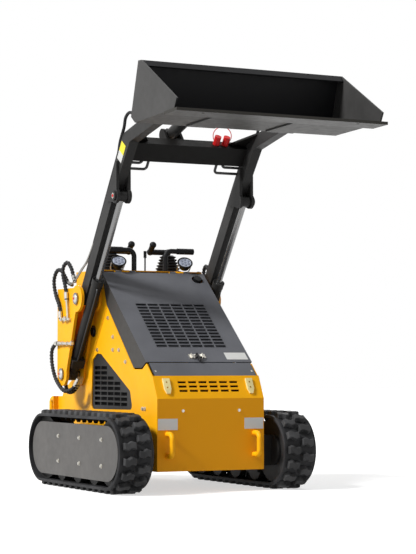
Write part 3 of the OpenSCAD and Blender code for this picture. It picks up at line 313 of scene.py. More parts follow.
EDGE_BREAK = {
    "body_paint": 1.6, "hood_paint": 1.4, "dark_paint": 2.0, "cover_paint": 1.2, "edge_steel": 1.5,
    "bright_steel": 1.0, "pad_plastic": 1.5, "track_rubber": 3.0, "black_plastic": 1.5, "boot_rubber": 2.0,
    "coupler_red": 2.0, "line_steel": 0.0, "lens": 0.8,
}
EDGE_ANGLE, EDGE_STEPS = 35.0, 2
node_paint = {"bucket": bucket_paint, "cross_tube": tube_paint_with_painted_shadow}


def dress(obj, mat):
    """Gives a piece one material."""
    obj.data.materials.clear()
    obj.data.materials.append(mat)


def break_edges(obj, width, angle):
    """Rounds a piece's sharp edges a little."""
    mod = obj.modifiers.new("edge break", "BEVEL")
    mod.width = width * MM
    mod.segments = EDGE_STEPS
    mod.limit_method = "ANGLE"
    mod.angle_limit = radians(angle)
    mod.harden_normals = False


for name, obj in nodes.items():
    slot = slot_of[name]
    dress(obj, node_paint.get(name, materials[slot]))
    if EDGE_BREAK[slot]:
        break_edges(obj, EDGE_BREAK[slot], EDGE_ANGLE)

# Shapes, with sizes in millimetres

SHARP_ANGLE = 40.0
HEX, TUBE_SIDES, DISC_SIDES, ROUND_SIDES = 6, 12, 20, 40
CURVE_STEPS = 24
WASHER_SHARE, WASHER_H, HEAD_SHARE = 1.35, 1.5, 0.62
HOSE_PITCH = 17.0


def from_bmesh(name, bm, mat, body, smooth=True):
    """Makes an object from a bmesh, gives it a material and lets it ride on a body."""
    bmesh.ops.recalc_face_normals(bm, faces=bm.faces)
    mesh = bpy.data.meshes.new(name)
    bm.to_mesh(mesh)
    bm.free()
    if smooth:
        mesh.shade_smooth()
        mesh.set_sharp_from_angle(angle=radians(SHARP_ANGLE))
    obj = bpy.data.objects.new(name.replace(" ", "_"), mesh)
    scene.collection.objects.link(obj)
    dress(obj, mat)
    if body:
        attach(obj, body)
    return obj


def turned(normal):
    """A rotation that takes +Z to the given direction."""
    return Vector(normal).to_track_quat("Z", "Y").to_matrix().to_4x4()


def square_to(side_dir):
    """A rotation with X across the machine, Y along a side direction and Z out of it."""
    x = Vector((1.0, 0.0, 0.0))
    y = Vector((0.0, side_dir.x, side_dir.y))
    return Matrix((x, y, x.cross(y))).transposed().to_4x4()


def add_disc(bm, place, normal, radius, height, sides=DISC_SIDES, top=None):
    """Adds a short cylinder or cone that stands on a point along a direction."""
    top = radius if top is None else top
    raised = Matrix.Translation((0.0, 0.0, height * MM / 2))
    move = Matrix.Translation(place) @ turned(normal) @ raised
    bmesh.ops.create_cone(bm, cap_ends=True, segments=sides, radius1=radius * MM, radius2=top * MM,
                          depth=height * MM, matrix=move)


def add_box(bm, place, size, turn=Matrix.Identity(4)):
    """Adds a box centred on a place, turned about its middle."""
    scale = Matrix.Diagonal((*[v * MM for v in size], 1.0))
    bmesh.ops.create_cube(bm, size=1.0, matrix=Matrix.Translation(at(*place)) @ turn @ scale)


def flat_box(bm, place, side_dir, size):
    """Adds a box that is square to a side direction."""
    add_box(bm, place, size, square_to(side_dir))


def curve_points(points):
    """Fine points on a Catmull-Rom curve through the given ones."""
    padded = [2 * points[0] - points[1], *points, 2 * points[-1] - points[-2]]
    fine = []
    for a, b, c, d in zip(padded, padded[1:], padded[2:], padded[3:]):
        for i in range(CURVE_STEPS):
            t = i / CURVE_STEPS
            fine.append(0.5 * (2 * b + (c - a) * t + (2 * a - 5 * b + 4 * c - d) * t * t
                               + (3 * b - a - 3 * c + d) * t ** 3))
    fine.append(points[-1])
    return fine


def smooth_path(points, step):
    """Evenly spaced points on a smooth curve through the given ones."""
    fine = curve_points(points)
    step = step * MM
    out = [fine[0]]
    carry = 0.0
    for p, q in zip(fine, fine[1:]):
        length = (q - p).length
        while carry + length >= step and length > 0:
            p = p + (q - p) * ((step - carry) / length)
            length = (q - p).length
            out.append(p)
            carry = 0.0
        carry += length
    out.append(fine[-1])
    return out


def routed(places, step):
    """A smooth path through places in millimetres."""
    return smooth_path([at(*place) for place in places], step)


def ring_angles(sides):
    """Angles evenly spaced round a circle."""
    return [2 * pi * k / sides for k in range(sides)]


def add_tube(bm, path, radius, sides=TUBE_SIDES, rib=0.0):
    """Adds a round tube along a path, ribbed along its length where rib is set."""
    tangent = (path[1] - path[0]).normalized()
    across = tangent.orthogonal().normalized()
    rings = []
    run = 0.0
    for i, p in enumerate(path):
        ahead = (path[min(i + 1, len(path) - 1)] - path[max(i - 1, 0)]).normalized()
        across = (tangent.rotation_difference(ahead) @ across).normalized()
        tangent = ahead
        up = tangent.cross(across)
        if i:
            run += (p - path[i - 1]).length
        r = radius * MM * (1.0 + rib * sin(2 * pi * run / (HOSE_PITCH * MM)))
        rings.append([bm.verts.new(p + r * (cos(a) * across + sin(a) * up)) for a in ring_angles(sides)])
    for a, b in zip(rings, rings[1:]):
        for k in range(sides):
            bm.faces.new((a[k], a[(k + 1) % sides], b[(k + 1) % sides], b[k]))
    bm.faces.new(list(reversed(rings[0])))
    bm.faces.new(rings[-1])


def discs(name, places, normal, radius, height, mat, body, sides=DISC_SIDES, top=None):
    """A piece of equal discs at places that face one way."""
    bm = bmesh.new()
    for place in places:
        add_disc(bm, at(*place), normal, radius, height, sides, top)
    return from_bmesh(name, bm, mat, body)


def plate(name, place, side_dir, size, mat, body):
    """A flat piece that is square to a side direction."""
    bm = bmesh.new()
    flat_box(bm, place, side_dir, size)
    return from_bmesh(name, bm, mat, body, smooth=False)


def bolts(name, places, normal, radius):
    """A piece of washers and hexagon heads at places on the body that face one way."""
    bm = bmesh.new()
    for place in places:
        seat = at(*place)
        add_disc(bm, seat, normal, radius * WASHER_SHARE, WASHER_H)
        head = seat + Vector(normal).normalized() * WASHER_H * MM
        add_disc(bm, head, normal, radius, radius * HEAD_SHARE, HEX)
    return from_bmesh(name, bm, zinc, "body", smooth=False)


def mirrored(points, sign):
    """The same points on one side of the machine."""
    return [(sign * x, y, z) for x, y, z in points]


# Hoses: routes on the left side, with the second body and the two places between which they bend

HOSE_R, HOSE_RIB, HOSE_STEP = 9.5, 0.15, 2.0
UPPER_REAR = [(410, 1043, 851), (410, 1051, 898), (410, 1070, 934), (411, 1100, 969), (412, 1126, 1023),
              (411, 1128, 1067), (408, 1097, 1104), (403, 1052, 1104), (398, 1014, 1072), (393, 985, 1041),
              (388, 945, 1026)]
UPPER_FRONT = [(410, 962, 948), (410, 968, 982), (410, 984, 1026), (410, 1012, 1079), (408, 1010, 1121),
               (402, 972, 1142), (398, 930, 1112), (394, 910, 1070), (390, 898, 1042)]
LOWER = [(411, 1070, 725), (411, 1100, 724), (412, 1150, 695), (412, 1160, 647), (411, 1140, 586),
         (408, 1098, 530), (400, 1026, 482), (390, 962, 482), (378, 924, 504), (368, 912, 536)]
INNER_LOWER = [(350, 1104, 552), (362, 1086, 512), (372, 1030, 474), (366, 968, 478), (352, 940, 512)]
HOSES = {
    "rear": (UPPER_REAR, "arms", (1126, 1023), (1050, 1099)),
    "front": (UPPER_FRONT, "arms", (963.6, 955.8), (977.6, 1024.4)),
    "lower": (LOWER, "lift_barrel", (1160, 672), (1045, 472)),
    "inner": (INNER_LOWER, "lift_barrel", (1104, 548), (1010, 449.4)),
}


def bent_hoses(side, sign):
    """The hoses of one side, each a ribbed tube along its route that rides on no body."""
    for label, (route, far, start, end) in HOSES.items():
        line = bmesh.new()
        add_tube(line, routed(mirrored(route, sign), HOSE_STEP), HOSE_R, rib=HOSE_RIB)
        hose = from_bmesh(f"{label} hose {side}", line, hose_rubber, None)
        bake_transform(hose)
        if (label, side) == ("rear", "right"):
            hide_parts("tower_hoses")


# Pipes and fittings at the hoses' ends: sleeves are (length, radius), nuts (place, radius, height)

PIPE_R, PIPE_STEP = 4.5, 10.0
NECK_BACK, NECK_L, NECK_SHARE = 6.0, 14.0, 0.8
TOWER_SLEEVE, ARM_SLEEVE, PORT_SLEEVE = (34.0, 11.5), (26.0, 10.5), (30.0, 11.5)
FRONT_STUB = [(407, 955, 850), (408, 955, 885), (410, 962, 948)]
CROSS_STUB = [(407, 1043, 851), (407, 985, 850), (407, 925, 848)]
LOWER_STUB = [(407, 890, 722), (409, 981, 724), (411, 1070, 725)]
STUBS = ((FRONT_STUB, 6.0), (CROSS_STUB, 7.0), (LOWER_STUB, 7.5))
TOWER_NUTS = (((1043, 851), 13.0, 14.0), ((985, 850), 15.0, 16.0), ((905, 724), 13.0, 12.0))
STUB_NUTS = ((1020, 850.7), (960, 849.2), (945, 722.8), (1010, 724.4), (1050, 724.8))
STUB_NUT_X, STUB_NUT_R, STUB_NUT_L = 409.0, 11.0, 14.0
REAR_PIPE = [(388, 945, 1026), (386, 902, 1056), (380, 846, 1096), (366, 790, 1150), (356, 705, 1265)]
FRONT_PIPE = [(390, 898, 1042), (384, 866, 1070), (374, 822, 1112), (352, 774, 1170), (340, 705, 1265)]


def add_sleeve(bm, points, length, radius):
    """Adds a crimped steel sleeve over the first stretch of a hose."""
    start = at(*points[0])
    ahead = (at(*points[1]) - start).normalized()
    add_disc(bm, start - ahead * NECK_BACK * MM, ahead, radius * NECK_SHARE, NECK_L)
    add_disc(bm, start + ahead * NECK_BACK * MM, ahead, radius, length)


def tower_fittings(side, sign):
    """Sleeves, nuts and pipe stubs on the tower."""
    fixed = bmesh.new()
    for route in (UPPER_REAR, UPPER_FRONT, LOWER):
        add_sleeve(fixed, mirrored(route, sign), *TOWER_SLEEVE)
    for place, radius, height in TOWER_NUTS:
        add_disc(fixed, at(sign * TOWER_X, *place), (sign, 0, 0), radius, height, HEX)
    for route, radius in STUBS:
        add_tube(fixed, routed(mirrored(route, sign), PIPE_STEP), radius)
    for place in STUB_NUTS:
        add_disc(fixed, at(sign * STUB_NUT_X, *place), (0, 1, 0), STUB_NUT_R, STUB_NUT_L, HEX)
    from_bmesh(f"hose fittings {side}", fixed, zinc, "body")


def arm_pipes(side, sign):
    """Sleeves and pipes that lead from the upper hoses onto the arm."""
    moved = bmesh.new()
    for route in (UPPER_REAR, UPPER_FRONT):
        add_sleeve(moved, mirrored(route, sign)[::-1], *ARM_SLEEVE)
    for route in (REAR_PIPE, FRONT_PIPE):
        add_tube(moved, routed(mirrored(route, sign), PIPE_STEP), PIPE_R)
    from_bmesh(f"arm pipes {side}", moved, dull_steel, "arms")


# Lift cylinders: gland, port block and feed pipe as (across, along, out)

GLAND_AT, GLAND_R, GLAND_L, GLAND_SIDES = 580.0, 31.0, 10.0, 32
BLOCK_AT, BLOCK_OUT, BLOCK_SIZE = 88.0, 4.0, (70.0, 46.0, 78.0)
FEED = ((346, 70, 22), (350, 92, 37), (350, 300, 38), (350, 520, 37), (346, 545, 20))


def cylinder_fittings(side, sign):
    """Hose sleeves, gland, port block and feed pipe of one lift cylinder."""
    barrel = f"lift_barrel_{side}"
    ports = bmesh.new()
    for route in (LOWER, INNER_LOWER):
        add_sleeve(ports, mirrored(route, sign)[::-1], *PORT_SLEEVE)
    from_bmesh(f"cylinder fittings {side}", ports, zinc, barrel)
    block = bmesh.new()
    gland = at(*on_lift(sign * LIFT_X, GLAND_AT))
    add_disc(block, gland, (0, LIFT_DIR.x, LIFT_DIR.y), GLAND_R, GLAND_L, GLAND_SIDES)
    flat_box(block, on_lift(sign * LIFT_X, BLOCK_AT, BLOCK_OUT), LIFT_DIR, BLOCK_SIZE)
    from_bmesh(f"port block {side}", block, materials["dark_paint"], barrel, smooth=False)
    line = bmesh.new()
    feed = [on_lift(sign * x, along, out) for x, along, out in FEED]
    add_tube(line, routed(feed, PIPE_STEP), PIPE_R)
    from_bmesh(f"cylinder pipe {side}", line, materials["line_steel"], barrel)


# Hoses along the back of each arm, and the loop over its knee

SPINE_R, SPINE_STEP = 8.0, 20.0
SPINE_X, SPINE_OUT, SPINE_RUN = (356, 340), -11.0, (-24, 100, 240, 380, 500)
KNEE_START = ((356, 498, -11), (362, 560, -14))
KNEE_LOOP = ((368, 336, 1772), (370, 312, 1818), (368, 268, 1838), (360, 226, 1818), (350, 205, 1778))


def arm_hoses(side, sign):
    """The two hoses on one arm and the loop that goes over its knee."""
    spine = bmesh.new()
    for x in SPINE_X:
        run = [on_beam(sign * x, along, SPINE_OUT) for along in SPINE_RUN]
        add_tube(spine, routed(run, SPINE_STEP), SPINE_R)
    knee = [on_beam(sign * x, along, out) for x, along, out in KNEE_START]
    knee += mirrored(KNEE_LOOP, sign)
    add_tube(spine, routed(knee, PIPE_STEP), SPINE_R)
    from_bmesh(f"arm hoses {side}", spine, hose_rubber, "arms")


for side, sign in SIDES.items():
    bent_hoses(side, sign)
    tower_fittings(side, sign)
    arm_pipes(side, sign)
    cylinder_fittings(side, sign)
    arm_hoses(side, sign)

# Tracks: belts with shoulders, wavy lugs and tapered guide teeth on the loop of the solids

LOOP_R, LINKS, TRACK_L, TRACK_MID = 178.0, 38, 1207.0, 192.0
FLAT_L = TRACK_L - 2 * TRACK_MID
BEND_L = pi * LOOP_R
LOOP_L = 2 * FLAT_L + 2 * BEND_L
LINK_PITCH = LOOP_L / LINKS
BELT_STATIONS, BELT_INSIDE_H = 228, -18.0
SHOULDER = [(0, -10), (3, -5), (20, -5), (26, -10)]
FAR_SHOULDER = [(BELT_W - across, high) for across, high in reversed(SHOULDER)]
BELT_PROFILE = SHOULDER + FAR_SHOULDER + [(BELT_W, BELT_INSIDE_H), (0, BELT_INSIDE_H)]
LUG_OUTLINE = [(-18, 20), (-27, 40), (-13, 62), (-19, 86), (19, 86), (27, 62), (13, 40), (20, 20)]
LUG_MID, LUG_ROOT_H, LUG_TIP_H = 53.5, -11.0, 14.0
LUG_TIP_WIDTH, LUG_TIP_LENGTH = 0.92, 0.82
OUTER_PHASE, INNER_PHASE = 0.58, 0.08
LUG_ROUND, LUG_ANGLE = 3.0, 30.0
TOOTH_ROOT, TOOTH_TIP, TOOTH_ROOT_H, TOOTH_TIP_H = (11, 18), (6, 6), -17.0, -44.0
CORNERS = ((-1, -1), (1, -1), (1, 1), (-1, 1))


def on_loop(run):
    """The place on the belt's line and the angle of its normal, by length along the loop."""
    run = run % LOOP_L
    if run < FLAT_L:
        return TRACK_MID + run, TRACK_MID - LOOP_R, -pi / 2
    if run < FLAT_L + BEND_L:
        turn = (run - FLAT_L) / LOOP_R - pi / 2
        return TRACK_L - TRACK_MID + LOOP_R * cos(turn), TRACK_MID + LOOP_R * sin(turn), turn
    if run < 2 * FLAT_L + BEND_L:
        return TRACK_L - TRACK_MID - (run - FLAT_L - BEND_L), TRACK_MID + LOOP_R, pi / 2
    turn = (run - 2 * FLAT_L - BEND_L) / LOOP_R + pi / 2
    return TRACK_MID + LOOP_R * cos(turn), TRACK_MID + LOOP_R * sin(turn), turn


def loop_point(sign, run, across, high, ahead=0.0):
    """A point by length along the loop, distance in from the outer edge, height and step ahead."""
    y, z, turn = on_loop(run)
    return at(sign * (BELT_X - across), y + cos(turn) * high + sin(turn) * ahead,
              z + sin(turn) * high - cos(turn) * ahead)


def add_prism(bm, root, tip):
    """Adds a block between two outlines of as many points."""
    low = [bm.verts.new(p) for p in root]
    top = [bm.verts.new(p) for p in tip]
    bm.faces.new(low)
    bm.faces.new(top)
    for i in range(len(low)):
        j = (i + 1) % len(low)
        bm.faces.new((low[i], low[j], top[j], top[i]))


def add_belt(bm, sign):
    """Adds the belt's band with its raised shoulders."""
    runs = [LOOP_L * k / BELT_STATIONS for k in range(BELT_STATIONS)]
    rings = [[bm.verts.new(loop_point(sign, run, *p)) for p in BELT_PROFILE] for run in runs]
    for a, b in zip(rings, rings[1:] + rings[:1]):
        for i in range(len(BELT_PROFILE)):
            j = (i + 1) % len(BELT_PROFILE)
            bm.faces.new((a[i], a[j], b[j], b[i]))


def add_lug(bm, sign, run, inner):
    """Adds one wavy lug on the outer or inner half of the belt."""
    root = []
    tip = []
    flip = -1.0 if inner else 1.0
    for ahead, across in LUG_OUTLINE:
        narrow = LUG_MID + (across - LUG_MID) * LUG_TIP_WIDTH
        if inner:
            across = BELT_W - across
            narrow = BELT_W - narrow
        root.append(loop_point(sign, run, across, LUG_ROOT_H, flip * ahead))
        tip.append(loop_point(sign, run, narrow, LUG_TIP_H, flip * ahead * LUG_TIP_LENGTH))
    add_prism(bm, root, tip)


def add_tooth(bm, sign, run):
    """Adds one tapered guide tooth inside the belt."""
    ends = []
    for (length, width), high in ((TOOTH_ROOT, TOOTH_ROOT_H), (TOOTH_TIP, TOOTH_TIP_H)):
        ends.append([loop_point(sign, run, BELT_W / 2 + v * width, high, u * length) for u, v in CORNERS])
    add_prism(bm, *ends)


for side, sign in SIDES.items():
    belt = bmesh.new()
    add_belt(belt, sign)
    lugs = bmesh.new()
    for i in range(LINKS):
        add_tooth(belt, sign, i * LINK_PITCH)
        add_lug(lugs, sign, (i + OUTER_PHASE) * LINK_PITCH, False)
        add_lug(lugs, sign, (i + INNER_PHASE) * LINK_PITCH, True)
    band = from_bmesh(f"track belt {side}", belt, materials["track_rubber"], "body")
    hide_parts(f"track_{side}")
    blocks = from_bmesh(f"track lugs {side}", lugs, lug_rubber_dust_and_highlight, "body", smooth=False)
    break_edges(blocks, LUG_ROUND, LUG_ANGLE)

# Pins: collars and greasers are (radius, height), the sleeve stands proud of the rod's eye

PIN_GREASER, PIN_GREASER_SIDES = (7.0, 9.5), 24
PIN_COLLAR, PIN_COLLAR_TOP, PIN_COLLAR_SIDES = (21.0, 8.0), 10.0, 32
ROD_COLLAR, ROD_GREASER = (15.0, 2.0), (8.0, 3.5)
ROD_EYE_R, EYE_PROUD, EYE_PROUD_R = 25.0, 0.4, 0.6
EYE_SLEEVE = (ROD_EYE_R + EYE_PROUD_R, ROD_W + 2 * EYE_PROUD)


def pin_ends(side, sign):
    """Collars and greasers on the tower's pins and on the lift rod's pin."""
    out = (sign, 0, 0)
    tower_pins = [(sign * PIN_X, *pin) for pin in (ARM_PIVOT, BASE_PIVOT)]
    rod_pin = [(sign * ARM_X, *ROD_PIN)]
    discs(f"pin greasers {side}", tower_pins, out, *PIN_GREASER, red_plastic, "body", PIN_GREASER_SIDES)
    discs(f"pin collars {side}", tower_pins, out, *PIN_COLLAR, zinc, "body", PIN_COLLAR_SIDES, PIN_COLLAR_TOP)
    discs(f"rod pin collar {side}", rod_pin, out, *ROD_COLLAR, zinc, "arms", HEX)
    discs(f"rod pin greaser {side}", rod_pin, out, *ROD_GREASER, red_plastic, "arms", PIN_GREASER_SIDES)
    eye = [(sign * (ROD_X - EYE_PROUD), *ROD_PIN)]
    discs(f"rod eye {side}", eye, out, *EYE_SLEEVE, materials["dark_paint"], f"lift_rod_{side}", ROUND_SIDES)


# Blank plates on the arms: place along the beam, length and material

PLATE_T = 0.8
BEAM_X, ARM_PLATE_OUT, ARM_PLATE_W = 366.0, 37.0, 56.0
ARM_PLATES = {
    "blank arm plate": (550.0, 52.0, plate_yellow),
    "blank arm plate low": (502.0, 44.0, plate_white),
}


def arm_plates(side, sign):
    """A yellow and a white plate on an arm's outer face."""
    for label, (along, length, mat) in ARM_PLATES.items():
        place = on_beam(sign * (BEAM_X + PLATE_T / 2), along, ARM_PLATE_OUT)
        plate(f"{label} {side}", place, BEAM_DIR, (PLATE_T, length, ARM_PLATE_W), mat, "arms")


# Bolts as (back, up) on the sides, (across, up) on the front and rear, (across, back, up) on the strip

WALL_BOLT_R, FRONT_BOLT_R, STRIP_SCREW_R, REAR_BOLT_R = 8.0, 5.5, 5.0, 7.0
WALL_BOLTS = ((704, 851), (641, 754), (641, 689), (567, 688), (487, 628), (257, 401), (284, 401),
              (838, 690), (925, 372))
COVER_BOLTS = [(back, up) for back in (253, 525, 795) for up in (256, 131)]
FRONT_BOLTS = [(x, 393) for x in (-152, 152)]
STRIP_SCREWS = [(x, 198, 581) for x in (-262, 262)]
STRIP_OUT = (0, *square(SLOPE_DIR))
REAR_BOLTS = [(x, up) for x in (-262, 262) for up in (300, 560, 820, 1060)]


def side_bolts(side, sign):
    """Bolts on a side wall and on a track's cover."""
    out = (sign, 0, 0)
    bolts(f"wall bolts {side}", [(sign * WALL_X, *spot) for spot in WALL_BOLTS], out, WALL_BOLT_R)
    bolts(f"cover bolts {side}", [(sign * COVER_X, *spot) for spot in COVER_BOLTS], out, WALL_BOLT_R)


for side, sign in SIDES.items():
    pin_ends(side, sign)
    arm_plates(side, sign)
    side_bolts(side, sign)
bolts("front bolts", [(x, FRONT_Y, up) for x, up in FRONT_BOLTS], (0, -1, 0), FRONT_BOLT_R)
bolts("strip screws", STRIP_SCREWS, STRIP_OUT, STRIP_SCREW_R)
bolts("rear bolts", [(x, REAR_Y, up) for x, up in REAR_BOLTS], (0, 1, 0), REAR_BOLT_R)

# Louvres: a raised lip over each slot and a sill under it, in shares of the slots' pitch

LOUVRE_W, LOUVRE_START, LOUVRE_END, LOUVRE_COLS, LOUVRE_ROWS = 391.0, 108.0, 455.0, 6, 14
COL_PITCH = LOUVRE_W / LOUVRE_COLS
ROW_PITCH = (LOUVRE_END - LOUVRE_START) / LOUVRE_ROWS
LIP_END, LIP_BEND = (0.42, 0.3), (0.34, 0.24)
LIP_RISE, LIP_R, LIP_STEP, LIP_SIDES = 2.4, 2.2, 6.0, 6
SILL_BELOW, SILL_OUT, SILL_SHARE, SILL_T = 0.32, 0.6, 0.84, 1.6


def add_louvre(bm, x, along):
    """Adds the lip and the sill of one slot."""
    end_x, end_up = LIP_END[0] * COL_PITCH, LIP_END[1] * ROW_PITCH
    bend_x, bend_up = LIP_BEND[0] * COL_PITCH, LIP_BEND[1] * ROW_PITCH
    lip = [on_hood(x - end_x, along + end_up), on_hood(x - bend_x, along + bend_up, LIP_RISE),
           on_hood(x + bend_x, along + bend_up, LIP_RISE), on_hood(x + end_x, along + end_up)]
    add_tube(bm, routed(lip, LIP_STEP), LIP_R, LIP_SIDES)
    sill = on_hood(x, along - ROW_PITCH * SILL_BELOW, SILL_OUT)
    flat_box(bm, sill, HOOD_DIR, (COL_PITCH * SILL_SHARE, SILL_T, SILL_T))


lips = bmesh.new()
for i in range(LOUVRE_COLS):
    for j in range(LOUVRE_ROWS):
        add_louvre(lips, (i + 0.5) * COL_PITCH - LOUVRE_W / 2, LOUVRE_START + (j + 0.5) * ROW_PITCH)
from_bmesh("louvre lips", lips, materials["hood_paint"], "hood")

# Dark sheets of painted shade behind the louvres, the front slots and the side grilles

SCREEN_T = 2.0
HOOD_SCREEN_DEPTH, HOOD_SCREEN_SIZE = -16.0, (LOUVRE_W + 20.0, 380.0, SCREEN_T)
SLOT_SCREEN_AT, SLOT_SCREEN_DEPTH, SLOT_SCREEN_SIZE = 65.0, -22.0, (400.0, 100.0, SCREEN_T)
SIDE_SCREEN_X, SIDE_SCREEN_SPOT, SIDE_SCREEN_SIZE = 268.0, (664.0, 532.0), (SCREEN_T, 500.0, 300.0)
screen = bmesh.new()
louvre_mid = on_hood(0, (LOUVRE_START + LOUVRE_END) / 2, HOOD_SCREEN_DEPTH)
flat_box(screen, louvre_mid, HOOD_DIR, HOOD_SCREEN_SIZE)
from_bmesh("louvre painted shade sheet", screen, painted_shade_inside, "hood")
behind = bmesh.new()
flat_box(behind, on_slope(0, SLOT_SCREEN_AT, SLOT_SCREEN_DEPTH), SLOPE_DIR, SLOT_SCREEN_SIZE)
for sign in SIDES.values():
    add_box(behind, (sign * SIDE_SCREEN_X, *SIDE_SCREEN_SPOT), SIDE_SCREEN_SIZE)
from_bmesh("vent painted shade sheets", behind, painted_shade_inside, "body")

# Latch, hood plate and front plates: places on the hood as (across, along, out)

LATCH, LATCH_SIZE = (0, 40, 2), (90.0, 30.0, 4.0)
LATCH_EARS, LATCH_EAR_SIZE = ((-30, 40, 6), (30, 40, 6)), (8.0, 30.0, 9.0)
HANDLE, HANDLE_R, HANDLE_STEP = ((0, 52, 9), (0, 30, 12), (0, 6, 10), (0, -3, 7)), 6.0, 4.0
HANDLE_BAR, HANDLE_BAR_R = ((-18, 22, 12), (18, 22, 12)), 4.5
HOOD_PLATE, HOOD_PLATE_SIZE = (218, 44, 0.5), (118.0, 52.0, PLATE_T)
FRONT_PLATE_X, FRONT_PLATE_Z, FRONT_PLATE_SIZE = 233.0, 329.0, (104.0, PLATE_T, 54.0)

latch = bmesh.new()
flat_box(latch, on_hood(*LATCH), HOOD_DIR, LATCH_SIZE)
for ear in LATCH_EARS:
    flat_box(latch, on_hood(*ear), HOOD_DIR, LATCH_EAR_SIZE)
from_bmesh("latch plate", latch, zinc, "hood", smooth=False)
handle = bmesh.new()
add_tube(handle, routed([on_hood(*spot) for spot in HANDLE], HANDLE_STEP), HANDLE_R)
add_tube(handle, [at(*on_hood(*spot)) for spot in HANDLE_BAR], HANDLE_BAR_R)
from_bmesh("latch handle", handle, materials["boot_rubber"], "hood")
plate("blank hood plate", on_hood(*HOOD_PLATE), HOOD_DIR, HOOD_PLATE_SIZE, plate_white, "hood")
signs = bmesh.new()
for x in (-FRONT_PLATE_X, FRONT_PLATE_X):
    add_box(signs, (x, FRONT_Y - PLATE_T / 2, FRONT_PLATE_Z), FRONT_PLATE_SIZE)
from_bmesh("blank front plates", signs, plate_white, "body", smooth=False)

# Lamps, turned up as in the photograph

LAMP_OUT = Vector((-0.187, -0.689, 0.700))
LAMP_SIDE = Vector((-LAMP_OUT.y, LAMP_OUT.x, 0.0)).normalized()
LAMP_UP = LAMP_OUT.cross(LAMP_SIDE)
LAMP_X, LAMP_Y, LAMP_Z = 190.0, 797.0, 1147.0
LAMP_R, LAMP_BACK_R, LAMP_DEPTH = 37.0, 25.0, 36.0
FACE_R, FACE_T = 33.5, 1.2
BEZEL_IN, BEZEL_R, BEZEL_SIDES = 0.5, 4.5, 8
CELLS, CELL_RING, CELL_R, CELL_TOP_R, CELL_H = 6, 19.5, 9.2, 4.5, 3.0
MID_CELL_R, MID_CELL_TOP_R, MID_CELL_H = 8.0, 4.0, 2.0
STRAP_R, STRAP_STEP, STRAP_SIDES = 3.5, 6.0, 8
STRAP_EAR, STRAP_EAR_BACK, STRAP_LEG, STRAP_FLARE, STRAP_RISE = 35.0, 14.0, 22.0, 1.5, 12.0
STRAP_BACK, STRAP_SINK = 22.0, 1.0
FULL_TURN = [2 * pi * k / ROUND_SIDES for k in range(ROUND_SIDES + 1)]


def lamp_spot(middle, angle, radius, out=0.0):
    """A point on a lamp's face, by angle and radius."""
    across = cos(angle) * LAMP_SIDE + sin(angle) * LAMP_UP
    return middle + across * radius * MM + LAMP_OUT * out * MM


def add_cells(bm, middle):
    """Adds a ring of reflector cells and one in the middle."""
    for k in range(CELLS):
        spot = lamp_spot(middle, 2 * pi * (k + 0.5) / CELLS, CELL_RING, FACE_T)
        add_disc(bm, spot, LAMP_OUT, CELL_R, CELL_H, top=CELL_TOP_R)
    spot = lamp_spot(middle, 0.0, 0.0, FACE_T)
    add_disc(bm, spot, LAMP_OUT, MID_CELL_R, MID_CELL_H, top=MID_CELL_TOP_R)


def add_strap(bm, sign, middle):
    """Adds the bracket from the lamp's sides to the console."""
    ear = LAMP_SIDE * STRAP_EAR * MM
    joint = middle - LAMP_OUT * STRAP_EAR_BACK * MM
    foot = at(sign * LAMP_X, LAMP_Y + STRAP_BACK, CONSOLE_Z - STRAP_SINK)
    leg = LAMP_SIDE * STRAP_LEG * MM
    rise = Vector((0, 0, STRAP_RISE * MM))
    strap = [joint + ear, foot + leg * STRAP_FLARE + rise, foot + leg,
             foot - leg, foot - leg * STRAP_FLARE + rise, joint - ear]
    add_tube(bm, smooth_path(strap, STRAP_STEP), STRAP_R, STRAP_SIDES)


drums = bmesh.new()
bezels = bmesh.new()
faces = bmesh.new()
cells = bmesh.new()
brackets = bmesh.new()
for sign in SIDES.values():
    middle = at(sign * LAMP_X, LAMP_Y, LAMP_Z)
    back = middle - LAMP_OUT * LAMP_DEPTH * MM
    add_disc(drums, back, LAMP_OUT, LAMP_BACK_R, LAMP_DEPTH, ROUND_SIDES, LAMP_R)
    rim = [lamp_spot(middle, angle, LAMP_R - BEZEL_IN) for angle in FULL_TURN]
    add_tube(bezels, rim, BEZEL_R, BEZEL_SIDES)
    add_disc(faces, middle, LAMP_OUT, FACE_R, FACE_T, ROUND_SIDES)
    add_cells(cells, middle)
    add_strap(brackets, sign, middle)
lamp_drums = from_bmesh("lamp drums", drums, materials["black_plastic"], "body")
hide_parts("work_lamps")
lamp_faces = from_bmesh("lamp faces", faces, lamp_face_painted_reflection, "body")
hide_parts("lamp_lenses")
from_bmesh("lamp bezels", bezels, materials["black_plastic"], "body")
from_bmesh("lamp cells", cells, reflector, "body")
from_bmesh("lamp brackets", brackets, dull_steel, "body")

# The couplers' tether and the deck mat with its studs

RING_MID, RING_R, RING_WIRE_R, RING_SIDES = (185, 362, 1765), 46.0, 2.2, 8
RING_SIDE, RING_UP = Vector((0.89, -0.45, 0.0)), Vector((0, 0, 1))
MAT_BACK, MAT_SIZE = 1306.0, (470.0, 340.0, 3.0)
STUD_COLS, STUD_ROWS, STUD_PITCH, STUD_X, STUD_BACK = 11, 8, 42.0, -210.0, 1160.0
STUD_R, STUD_TOP_R, STUD_H, STUD_SIDES = 9.0, 7.0, 2.5, 12

